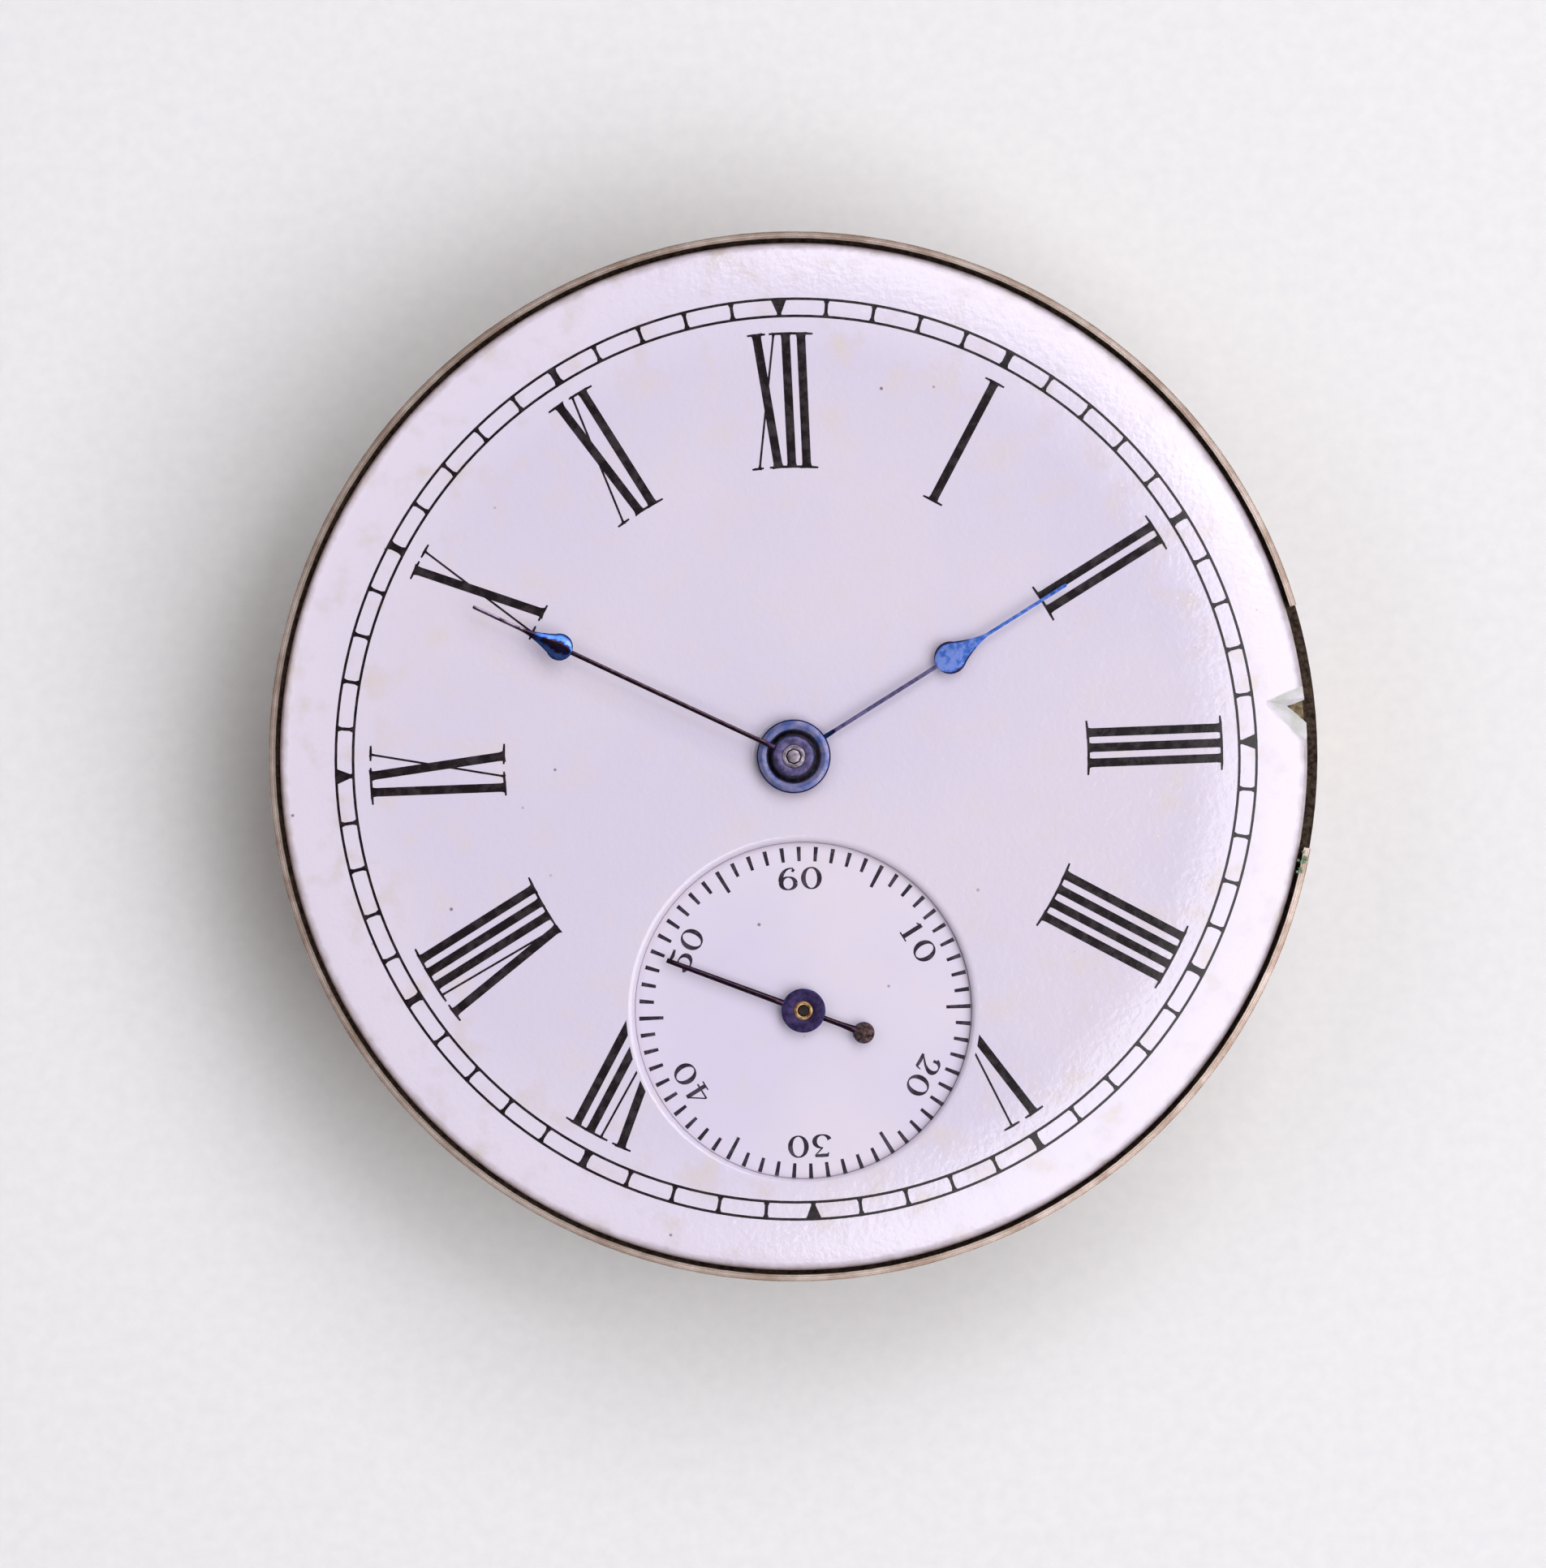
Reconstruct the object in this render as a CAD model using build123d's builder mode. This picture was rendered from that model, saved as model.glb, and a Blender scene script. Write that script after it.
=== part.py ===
from build123d import *

import os
from math import acos, atan2, cos, degrees, hypot, radians, sin

# A small pocket-watch movement under its enamel dial, dial up.
# Origin: the hand arbor's axis at the height of the case's seat, under the plate's lip.
# Heights below count from the pillar plate's dial face, and the pieces are lifted to the origin last.
# +Z towards the viewer of the dial, +Y towards twelve, +X towards three, where the stem enters.
# Lengths in millimetres, angles in degrees counted from +X towards +Y.

# Pillar plate
plate_radius = 17.355
register_inset = 0.405
register_shoulder = 0.55
plate_thickness = 1.9
lip_wall = 0.22
lip_height = 0.8
lip_gap_angles = (-12.3, 14.6)

# Height between the plates, and the top plate with its window for the balance
train_height = 2.6
top_plate_inset = 0.55
top_plate_thickness = 1.2
balance_window_strip = 1.25
pillar_inset = 1.4
pillar_radius = 1.0
pillar_angles = (100, 165, 262, 320)

# Enamel dial: white enamel on copper, with a sunk seconds bit soldered in
dial_gap = 0.135
dial_slope_width = 1.6
dial_edge_drop = 0.3
dial_edge_round = 0.24
dial_copper_thickness = 0.35
dial_enamel_thickness = 0.6
dial_copper_margin = 0.05
centre_hole_radius = 1.0
bit_hole_margin = 1.4
bit_hole_round = 0.24
bit_gap = 0.03
bit_thickness = 0.6
bit_centre_hole_radius = 0.5
foot_radius = 0.45
foot_length = 1.2
foot_angles = (48, 158, 283)
foot_screw_radius = 0.3
foot_screw_sink = 0.25

# Chip broken out of the enamel near three o'clock
chip_depth = 1.34
chip_offset = 1.22
chip_slope = 22
chip_half_angle = 36
chip_direction = -14
chip_reach = 2.4

# Hands
hour_hand_angle = 30.0
hour_hand_length = 10.63
hour_boss_radius = 1.22
hour_drop_distance = 6.11
hour_drop_radius = 0.54
hour_drop_taper = 1.39
hour_arm_width = 0.13
hour_tip_width = 0.12
minute_hand_angle = 152.8
minute_hand_length = 11.66
minute_boss_radius = 0.69
minute_drop_distance = 8.5
minute_drop_radius = 0.44
minute_drop_taper = 1.2
minute_arm_width = 0.13
minute_tip_width = 0.12
seconds_hand_angle = 157.6
seconds_hand_length = 4.81
seconds_hub_radius = 0.73
seconds_arm_width = 0.17
seconds_tip_width = 0.12
seconds_tail_length = 2.12
seconds_tail_radius = 0.36
seconds_pipe_radius = 0.32
hand_thickness = 0.14
hand_boss_height = 0.3
hand_edge = 0.04
bevel_angle = 45.0
seconds_hand_lift = 0.3
hour_hand_lift = 0.22
hand_spacing = 0.15

# Teeth: half widths as shares of one pitch, and depths in modules.
# A wheel's teeth come to a point, and a pinion's leaves have a narrow top.
leaf_tip_share = 0.12
leaf_root_share = 0.31
tooth_root_share = 0.4
addendum_share = 0.85
dedendum_share = 1.2
most_leaves = 16

# Places of arbors and feet on the plates, as shares of the plate's radius
fourth_place_shares = (0, -0.48401)
third_place_shares = (0.17063, -0.27557)
barrel_place_shares = (0.32086, 0.32086)
balance_place_shares = (-0.47234, -0.14983)
crown_place_shares = (0.69089, 0)
cock_foot_shares = (-0.53587, 0.49553)
bridge_foot_shares = (-0.36877, -0.55315)
escape_line_share = 0.39491

# Going train, wheel over pinion: the pitch radii follow from the arbors' distances
barrel_teeth = 60
centre_leaves = 10
centre_teeth = 48
third_leaves = 6
third_teeth = 45
fourth_leaves = 6
fourth_teeth = 60
escape_leaves = 6
escape_tip_radius = 2.35
escape_teeth = 15
escape_root_share = 0.76
escape_tooth_shares = (0, 0.34, 0.5, 0.62)
escape_arm_width = 0.2
escape_hub_radius = 0.5
wheel_thickness = 0.22
great_wheel_thickness = 0.5
arm_width = 0.4
rim_share = 0.84
hub_share = 0.24
wheel_arms = 4

# Motion work under the dial
minute_arbor_distance = 2.7
motion_angle = 20.0
cannon_leaves = 8
minute_wheel_teeth = 24
minute_leaves = 6
hour_wheel_teeth = 24
motion_recess_depth = 1.0
motion_recess_margin = 0.3
hour_wheel_thickness = 0.2
hour_pipe_radius = 0.75
cannon_pipe_radius = 0.44
cannon_tip_radius = 0.38
hand_arbor_radius = 0.22
minute_stud_radius = 0.25
washer_thickness = 0.06
washer_radius = 1.9

# Levels in the train, as gaps from one layer to the next
end_shake = 0.1
barrel_gap = 0.2
fourth_gap = 0.35
escape_gap = 0.5
third_gap = 0.35
bridge_gap = 0.4
bridge_thickness = 0.5
balance_gap = 0.2
cock_thickness = 0.7

# Arbors and jewels
centre_journal_radius = 0.45
arbor_radius = 0.3
pivot_radius = 0.14
seconds_arbor_radius = 0.17
running_gap = 0.02
seat_gap = 0.005
jewel_radius = 0.55
jewel_thickness = 0.35
jewel_sink = 0.15
cap_jewel_radius = 0.4

# Barrel
barrel_tooth_margin = 0.5
barrel_wall = 0.4
barrel_floor = 0.25
barrel_cover_thickness = 0.2
barrel_core_radius = 1.4
barrel_pivot_radius = 0.8
barrel_square = 1.2
mainspring_strip = 0.22
mainspring_half_turns = 3
mainspring_step = 0.8
mainspring_slack = 0.4

# Escapement
pallet_distance = 2.75
pallet_stone_angle = 30.0
pallet_clearance = 0.06
pallet_stone_width = 0.34
pallet_stone_length = 0.8
lever_thickness = 0.2
lever_arm_width = 0.4
lever_hub_radius = 0.36
fork_slot_width = 0.28
fork_slot_depth = 0.45
fork_width = 0.8
impulse_pin_radius = 0.1
roller_pin_reach = 0.5
roller_radius = 0.72
roller_thickness = 0.15
bridge_foot_radius = 1.3
bridge_hub_radius = 0.8

# Balance with its spring
balance_rim_gap = 0.85
balance_rim_width = 0.55
balance_rim_height = 0.45
balance_arm_width = 0.7
balance_arm_thickness = 0.2
balance_hub_radius = 0.8
balance_screw_radius = 0.22
balance_screw_length = 0.42
balance_screw_angles = (14, 36, 58, 80, 102, 124, 146, 168)
staff_radius = 0.3
staff_pivot_radius = 0.1
collet_radius = 0.55
collet_height = 0.25
spring_strip = 0.06
spring_height = 0.15
spring_half_turns = 8
spring_step = 0.46
spring_gap = 0.03
spring_stud_radius = 0.25
cock_head_radius = 1.5
cock_foot_radius = 2.5

# Regulator over the balance cock
regulator_ring_radius = 1.05
regulator_thickness = 0.15
regulator_tail_length = 5.6
regulator_tail_width = 0.35
regulator_pin_radius = 0.07
regulator_angle = 70.0
cap_setting_radius = 0.7
cap_setting_height = 0.16

# Winding wheels on the outer face of the top plate
ratchet_teeth = 42
ratchet_slot_angle = 30.0
crown_teeth = 28
contrate_teeth = 24
contrate_width = 0.7
contrate_recess_gap = 0.35
contrate_height = 0.35
contrate_tooth_share = 0.4
winding_pinion_teeth = 14
winding_pinion_radius = 1.575
winding_pinion_length = 1.0
winding_wheel_thickness = 0.35
winding_wheel_lift = 0.05
contrate_gap = 0.1
crown_core_radius = 1.2
crown_cap_radius = 1.5
crown_cap_height = 0.25
stem_radius = 0.5
stem_pilot_radius = 0.3
stem_block_width = 2.6
stem_block_length = 1.05
stem_block_wall = 0.45
stem_block_inset = 0.1
pilot_block_width = 1.8
pilot_block_length = 0.8
pilot_block_gap = 1.05
stem_slot_gap = 0.35
click_angle = 120.0
click_gap = 1.4
click_radius = 0.75
click_beak_depth = 0.16
click_spring_width = 0.14
click_spring_length = 1.9

# Screws
screw_radius = 0.45
screw_head_radius = 0.85
screw_head_height = 0.3
screw_head_sink = 0.3
screw_length = 1.6
screw_slot_width = 0.16
screw_slot_depth = 0.12
small_screw_radius = 0.3
small_head_radius = 0.6

# Turned parts are drawn with few sides: fewest for the finest, more for bosses and wide rounds
finest_radius = 0.52
finest_sides = 8
fine_radius = 2.0
fine_sides = 10
boss_sides = 20
wide_sides = 32
dial_copper_sides = 64

# Heights worked out from the sizes above
plate_inner = -plate_thickness
top_inner = plate_inner - train_height
top_outer = top_inner - top_plate_thickness
dial_front = dial_copper_thickness + dial_enamel_thickness
dial_edge_height = dial_front - dial_edge_drop
seconds_hand_base = bit_thickness + seconds_hand_lift
hour_hand_base = dial_front + hour_hand_lift
minute_hand_base = hour_hand_base + hand_boss_height + hand_spacing
cannon_top = minute_hand_base + hand_boss_height + hand_edge
centre_wheel_base = plate_inner - end_shake - wheel_thickness
barrel_top = centre_wheel_base - barrel_gap
great_wheel_base = barrel_top - great_wheel_thickness
barrel_base = top_inner + end_shake
fourth_wheel_base = centre_wheel_base - fourth_gap - wheel_thickness
escape_wheel_base = fourth_wheel_base - escape_gap - wheel_thickness
third_wheel_base = escape_wheel_base - third_gap - wheel_thickness
bridge_top = escape_wheel_base - bridge_gap
bridge_base = bridge_top - bridge_thickness
balance_rim_base = top_inner - balance_gap - balance_rim_height
balance_arm_base = balance_rim_base + (balance_rim_height - balance_arm_thickness) / 2
spring_base = (balance_rim_base + top_outer - spring_height) / 2
cock_base = top_outer - cock_thickness
winding_wheel_base = top_outer - winding_wheel_lift - winding_wheel_thickness
crown_recess_depth = contrate_height + contrate_gap
crown_cap_base = winding_wheel_base - running_gap - crown_cap_height
motion_floor = -motion_recess_depth
shaft_top = plate_inner - end_shake
shaft_base = top_inner + end_shake
pivot_top = plate_inner + jewel_thickness
pivot_base = top_inner - jewel_thickness
bridge_shaft_base = bridge_top + end_shake
bridge_pivot_base = bridge_top - jewel_thickness


def polar(radius, angle, centre=(0, 0)):
    """The point at a radius and an angle about a centre"""
    return (centre[0] + radius * cos(radians(angle)), centre[1] + radius * sin(radians(angle)))


def bearing(start, end):
    """The angle of the line from one point to another"""
    return degrees(atan2(end[1] - start[1], end[0] - start[0]))


def level(point, height, angle=0):
    """The horizontal plane at a point and a height, its x axis turned to an angle"""
    return Plane((point[0], point[1], height), x_dir=(*polar(1, angle), 0))


def on_plate(shares):
    """The place on the plates that shares of their radius give"""
    return (shares[0] * plate_radius, shares[1] * plate_radius)


def between(start, end, share):
    """The point that a share of the way from one point to another gives"""
    return (start[0] + share * (end[0] - start[0]), start[1] + share * (end[1] - start[1]))


def distance(start, end):
    """The distance of two points"""
    return hypot(end[0] - start[0], end[1] - start[1])


def meshing(arbor_distance, teeth, partner_teeth):
    """The pitch radii of two toothed pieces, which share their arbors' distance as their teeth"""
    pitch_radius = arbor_distance * teeth / (teeth + partner_teeth)
    return pitch_radius, arbor_distance - pitch_radius


# Rounds that share the plate's centre, from its edge inwards
register_radius = plate_radius - register_inset
top_plate_radius = register_radius - top_plate_inset
pillar_circle_radius = top_plate_radius - pillar_inset
dial_radius = plate_radius - lip_wall - dial_gap
dial_flat_radius = dial_radius - dial_slope_width
foot_circle_radius = dial_flat_radius
chip_point = (dial_radius - chip_depth, chip_offset)

# Places of the arbors and feet
centre_at = (0, 0)
fourth_at = on_plate(fourth_place_shares)
third_at = on_plate(third_place_shares)
barrel_at = on_plate(barrel_place_shares)
balance_at = on_plate(balance_place_shares)
crown_at = on_plate(crown_place_shares)
cock_foot_at = on_plate(cock_foot_shares)
bridge_foot_at = on_plate(bridge_foot_shares)
escape_at = between(fourth_at, balance_at, escape_line_share)
escapement_angle = bearing(fourth_at, balance_at)
pallet_at = polar(pallet_distance, escapement_angle, escape_at)
lever_reach = distance(pallet_at, balance_at)
minute_at = polar(minute_arbor_distance, motion_angle)
barrel_angle = bearing(centre_at, barrel_at)
balance_angle = bearing(centre_at, balance_at)
cock_angle = bearing(balance_at, cock_foot_at)

# Pitch radii, each wheel's with its pinion's
barrel_distance = distance(barrel_at, centre_at)
barrel_pitch_radius, centre_pinion_radius = meshing(barrel_distance, barrel_teeth, centre_leaves)
centre_pitch_radius, third_pinion_radius = meshing(distance(centre_at, third_at), centre_teeth, third_leaves)
third_pitch_radius, fourth_pinion_radius = meshing(distance(third_at, fourth_at), third_teeth, fourth_leaves)
escape_distance = distance(fourth_at, escape_at)
fourth_pitch_radius, escape_pinion_radius = meshing(escape_distance, fourth_teeth, escape_leaves)
cannon_pitch_radius, minute_pitch_radius = meshing(minute_arbor_distance, cannon_leaves, minute_wheel_teeth)
minute_pinion_radius, hour_pitch_radius = meshing(minute_arbor_distance, minute_leaves, hour_wheel_teeth)
ratchet_pitch_radius, crown_pitch_radius = meshing(distance(barrel_at, crown_at), ratchet_teeth, crown_teeth)
contrate_pitch_radius = winding_pinion_radius * contrate_teeth / winding_pinion_teeth

# Sizes that keep clear of their neighbours
barrel_drum_radius = barrel_pitch_radius - barrel_tooth_margin
escape_arbor_radius = escape_pinion_radius * (1 - 2 * dedendum_share / escape_leaves)
bit_hole_radius = dial_flat_radius - distance(centre_at, fourth_at) - bit_hole_margin
balance_window_radius = top_plate_radius - distance(centre_at, balance_at) - balance_window_strip
balance_rim_radius = balance_window_radius - balance_rim_gap
stem_height = top_outer + contrate_height / 2 + winding_pinion_radius
pinion_middle = crown_at[0] + contrate_pitch_radius
click_at = polar(ratchet_pitch_radius + click_gap, click_angle, barrel_at)

FROM_BASE = (Align.CENTER, Align.CENTER, Align.MIN)


def toothed_face(teeth, pitch_radius, phase=0):
    """The outline of a wheel or pinion, with one tooth centred on the phase angle"""
    module = 2 * pitch_radius / teeth
    tip = pitch_radius + addendum_share * module
    root = pitch_radius - dedendum_share * module
    if teeth > most_leaves:
        corners = ((root, -tooth_root_share), (tip, 0), (root, tooth_root_share))
    else:
        shape = ((root, leaf_root_share), (tip, leaf_tip_share))
        corners = [(radius, -share) for radius, share in shape] + list(reversed(shape))
    points = [
        polar(radius, phase + (tooth + share) * 360 / teeth)
        for tooth in range(teeth)
        for radius, share in corners
    ]
    with BuildSketch() as rim:
        with BuildLine():
            Polyline(*points, close=True)
        make_face()
    return rim.sketch


def crossed_wheel(teeth, pitch_radius, bore, phase=0):
    """A toothed wheel crossed out to a rim, arms and a hub round its bore"""
    inside = pitch_radius * rim_share
    with BuildSketch() as wheel:
        add(toothed_face(teeth, pitch_radius, phase))
        bored(inside)
        with PolarLocations(0, wheel_arms):
            Rectangle(pitch_radius * (1 + rim_share) / 2, arm_width, align=(Align.MIN, Align.CENTER))
        turned(pitch_radius * hub_share)
        bored(bore)
    return wheel.sketch


def partner_phase(angle, teeth):
    """The phase that turns a tooth gap to the given angle, to take the partner's tooth"""
    return angle + 180 / teeth


def turned(radius, mode=Mode.ADD, outside=False, sides=None):
    """A round section of a few sides, which lie inside the circle, or outside it for a hole"""
    if sides is None:
        if radius > fine_radius:
            sides = wide_sides
        elif radius > finest_radius:
            sides = fine_sides
        else:
            sides = finest_sides
    RegularPolygon(radius, sides, major_radius=not outside, mode=mode)


def bored(radius, sides=None):
    """Cuts a round section out of the sketch in hand"""
    turned(radius, Mode.SUBTRACT, outside=True, sides=sides)


def steps(point, *shoulders):
    """Adds a stepped round bar at a point, from (radius, low, high) shoulders"""
    for radius, low, high in shoulders:
        with BuildSketch(level(point, low)) as section:
            turned(radius)
        extrude(section.sketch, amount=high - low)


def hole(point, radius, low, high):
    """Cuts a round hole at a point between two heights"""
    with BuildSketch(level(point, low)) as section:
        turned(radius, outside=True)
    extrude(section.sketch, amount=high - low, mode=Mode.SUBTRACT)


def ring(point, outer, inner, low, high):
    """Adds a round bush at a point between two heights"""
    with BuildSketch(level(point, low)) as section:
        turned(outer)
        bored(inner)
    extrude(section.sketch, amount=high - low)


def slotted_screw(point, radius, head, top, length, phase=0):
    """Adds a screw whose slotted head looks down from its seat at the height top"""
    steps(point, (head, top - screw_head_height, top), (radius, top, top + length))
    with Locations(level(point, top - screw_head_height, phase)):
        Box(2 * head, screw_slot_width, screw_slot_depth, align=FROM_BASE, mode=Mode.SUBTRACT)


def tapered_arm(length, width, tip_width):
    """A slender arm along +X that narrows evenly to its tip"""
    with Locations((length / 2, 0)):
        Trapezoid(width, length, degrees(atan2(length, (width - tip_width) / 2)), rotation=-90)


def pear_hand(point, base, angle, boss, bore, arm, drop):
    """Adds a hand: a flat blade with a pear-shaped drop, and a raised boss with its bore.

    The arm is (length, width, tip width), the drop (place of its round, radius, length of its taper).
    """
    place, radius, taper = drop
    lean = degrees(acos(radius / taper))
    with BuildSketch(level(point, base + hand_edge, angle)) as blade:
        turned(boss, sides=boss_sides)
        tapered_arm(*arm)
        with BuildLine():
            arc = CenterArc((place, 0), radius, lean, 360 - 2 * lean)
            Polyline(arc @ 1, (place + taper, 0), arc @ 0)
        make_face()
    extrude(blade.sketch, amount=hand_thickness)
    with BuildSketch(level(point, base, angle)) as raised:
        turned(boss, sides=boss_sides)
    extrude(raised.sketch, amount=hand_boss_height - hand_edge)
    with BuildSketch(level(point, base + hand_boss_height - hand_edge, angle)) as bevel:
        turned(boss, sides=boss_sides)
    extrude(bevel.sketch, amount=hand_edge, taper=bevel_angle)
    with BuildSketch(level(point, base, angle)) as pipe:
        turned(bore, outside=True, sides=boss_sides)
    extrude(pipe.sketch, amount=hand_boss_height, mode=Mode.SUBTRACT)


def spiral_strip(inner_radius, half_turns, step, strip):
    """A flat spring: a strip of half-turn arcs about two centres in turn, from +X inwards"""
    half_step = step / 2
    with BuildSketch() as spring:
        with BuildLine():
            ends = []
            for side in (-strip / 2, strip / 2):
                arcs = []
                for half in range(half_turns):
                    parity = (half_turns - half) % 2
                    radius = inner_radius + half * half_step + side
                    arcs.append(CenterArc((parity * half_step, 0), radius, 180 * parity, 180))
                ends.append((arcs[0] @ 0, arcs[-1] @ 1))
            for inner, outer in zip(*ends):
                Line(inner, outer)
        make_face()
    return spring.sketch


# Pillar plate with its lip, recesses and bearings
with BuildPart() as pillar_plate:
    with BuildSketch(Plane.XY.offset(plate_inner)):
        Circle(register_radius)
    extrude(amount=plate_thickness)
    with BuildSketch(Plane.XY.offset(-register_shoulder)):
        Circle(plate_radius)
    extrude(amount=register_shoulder)
    with BuildSketch(Plane.XY):
        Circle(plate_radius)
        Circle(plate_radius - lip_wall, mode=Mode.SUBTRACT)
        with BuildLine():
            reach = 2 * plate_radius
            gap_corners = [polar(reach, angle) for angle in lip_gap_angles]
            Polyline((0, 0), *gap_corners, close=True)
        make_face(mode=Mode.SUBTRACT)
    extrude(amount=lip_height)
    with BuildSketch(Plane.XY):
        Circle(hour_pitch_radius + motion_recess_margin)
        with Locations(minute_at):
            Circle(minute_pitch_radius + motion_recess_margin)
    extrude(amount=motion_floor, mode=Mode.SUBTRACT)
    hole(centre_at, centre_journal_radius + running_gap, plate_inner, motion_floor)
    hole(fourth_at, seconds_arbor_radius + running_gap, plate_inner, 0)
    hole(barrel_at, barrel_pivot_radius + running_gap, plate_inner, pivot_top + jewel_sink)
    for point in (third_at, escape_at, pallet_at):
        hole(point, pivot_radius + running_gap, plate_inner, pivot_top + jewel_sink)
    hole(balance_at, jewel_radius, plate_inner, pivot_top + jewel_sink)
    for angle in foot_angles:
        hole(polar(foot_circle_radius, angle), foot_radius + seat_gap, -foot_length - seat_gap, 0)
    foot_screw_height = -(register_shoulder + foot_length) / 2
    for angle in foot_angles:
        across = Plane((*polar(foot_circle_radius, angle), foot_screw_height), z_dir=(*polar(1, angle), 0))
        with BuildSketch(across):
            turned(foot_screw_radius + seat_gap, outside=True)
        extrude(amount=plate_radius - foot_circle_radius, mode=Mode.SUBTRACT)

# Four pillars, tapped for their screws
with BuildPart() as plate_pillars:
    for angle in pillar_angles:
        place = polar(pillar_circle_radius, angle)
        ring(place, pillar_radius, screw_radius + seat_gap, top_inner, plate_inner)

with BuildPart() as stem_bearings:
    block_reach = register_radius - stem_block_inset
    pilot_reach = pinion_middle - pilot_block_gap
    block_base = stem_height - stem_radius - stem_block_wall
    with Locations((block_reach, 0, block_base)):
        block_height = plate_inner - block_base
        Box(stem_block_length, stem_block_width, block_height, align=(Align.MAX, Align.CENTER, Align.MIN))
    with Locations((pilot_reach, 0, top_inner)):
        Box(pilot_block_length, pilot_block_width, train_height, align=(Align.MAX, Align.CENTER, Align.MIN))
    with BuildSketch(Plane((block_reach, 0, stem_height), z_dir=(-1, 0, 0))):
        Circle(stem_radius)
    extrude(amount=stem_block_length, mode=Mode.SUBTRACT)
    with BuildSketch(Plane((pilot_reach, 0, stem_height), z_dir=(-1, 0, 0))):
        turned(stem_pilot_radius, outside=True)
    extrude(amount=pilot_block_length, mode=Mode.SUBTRACT)

# Top plate: a three-quarter plate, open round the balance and over the winding pinion
with BuildPart() as top_plate:
    with BuildSketch(Plane.XY.offset(top_outer)):
        Circle(top_plate_radius)
        with Locations(balance_at):
            Circle(balance_window_radius, mode=Mode.SUBTRACT)
            Rectangle(
                top_plate_radius,
                2 * balance_window_radius,
                align=(Align.MIN, Align.CENTER),
                rotation=balance_angle,
                mode=Mode.SUBTRACT,
            )
        slot_start = pinion_middle - winding_pinion_length / 2 - stem_slot_gap
        slot_half = winding_pinion_radius + stem_slot_gap
        with Locations((slot_start, 0)):
            Rectangle(top_plate_radius, 2 * slot_half, align=(Align.MIN, Align.CENTER), mode=Mode.SUBTRACT)
    extrude(amount=top_plate_thickness)
    with BuildSketch(level(crown_at, top_outer)):
        Circle(contrate_pitch_radius + contrate_width / 2 + contrate_recess_gap)
    extrude(amount=crown_recess_depth, mode=Mode.SUBTRACT)
    hole(third_at, pivot_radius + running_gap, top_outer, top_inner)
    hole(fourth_at, seconds_arbor_radius + running_gap, top_outer, top_inner)
    hole(centre_at, pivot_radius + arbor_radius + running_gap, top_outer, top_inner)
    hole(barrel_at, barrel_pivot_radius + running_gap, top_outer, top_inner)
    for angle in pillar_angles:
        hole(polar(pillar_circle_radius, angle), screw_radius + seat_gap, top_outer, top_inner)
    hole(click_at, small_screw_radius + seat_gap, top_outer, top_inner)
    hole(cock_foot_at, screw_radius + seat_gap, top_outer, top_inner)

# Six like screws: four into the pillars, one for the balance cock and one for the bridge
with BuildPart() as plate_screws:
    for angle in pillar_angles:
        place = polar(pillar_circle_radius, angle)
        slotted_screw(place, screw_radius, screw_head_radius, top_outer, screw_length, angle)
    slotted_screw(cock_foot_at, screw_radius, screw_head_radius, cock_base + screw_head_sink, screw_length)
    bridge_seat = bridge_base + screw_head_sink
    slotted_screw(bridge_foot_at, screw_radius, screw_head_radius, bridge_seat, screw_length)

# Dial: copper with its feet, and the white enamel over it
with BuildPart() as dial_copper:
    with BuildSketch(Plane.XY):
        turned(dial_radius - dial_copper_margin, sides=dial_copper_sides)
        bored(centre_hole_radius)
        with Locations(fourth_at):
            bored(bit_hole_radius)
    extrude(amount=dial_copper_thickness)
    for angle in foot_angles:
        steps(polar(foot_circle_radius, angle), (foot_radius, -foot_length, 0))

with BuildPart() as dial_enamel:
    with BuildSketch(Plane.XZ):
        with BuildLine():
            Polyline(
                (centre_hole_radius, dial_copper_thickness),
                (centre_hole_radius, dial_front),
                (dial_flat_radius, dial_front),
                (dial_radius - dial_edge_round, dial_edge_height),
                (dial_radius, dial_edge_height - dial_edge_round),
                (dial_radius, dial_copper_thickness),
                close=True,
            )
        make_face()
    revolve(axis=Axis.Z)
    with BuildSketch(level(fourth_at, dial_copper_thickness)):
        Circle(bit_hole_radius)
    extrude(amount=dial_enamel_thickness, mode=Mode.SUBTRACT)
    top_rims = dial_enamel.edges().filter_by(GeomType.CIRCLE).group_by(Axis.Z)[-1].sort_by(SortBy.RADIUS)
    chamfer(top_rims[1], bit_hole_round)
    chip_floor = level(chip_point, dial_front, chip_direction).rotated((0, chip_slope, 0))
    with BuildSketch(chip_floor):
        with BuildLine():
            sides = [polar(chip_reach, side * chip_half_angle) for side in (-1, 1)]
            Polyline((0, 0), *sides, close=True)
        make_face()
    extrude(amount=dial_enamel_thickness, mode=Mode.SUBTRACT)

with BuildPart() as seconds_bit:
    with BuildSketch(level(fourth_at, 0)):
        Circle(bit_hole_radius - bit_gap)
        bored(bit_centre_hole_radius)
    extrude(amount=bit_thickness)

with BuildPart() as dial_foot_screws:
    screw_start = foot_circle_radius + foot_radius
    for angle in foot_angles:
        inward = Plane((*polar(screw_start, angle), foot_screw_height), z_dir=(*polar(1, angle), 0))
        with BuildSketch(inward):
            turned(foot_screw_radius)
        extrude(amount=register_radius - foot_screw_sink - screw_start)

# Hands
with BuildPart() as hour_hand:
    arm = (hour_hand_length, hour_arm_width, hour_tip_width)
    drop = (hour_drop_distance, hour_drop_radius, hour_drop_taper)
    bore = hour_pipe_radius + seat_gap
    pear_hand(centre_at, hour_hand_base, hour_hand_angle, hour_boss_radius, bore, arm, drop)

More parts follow.
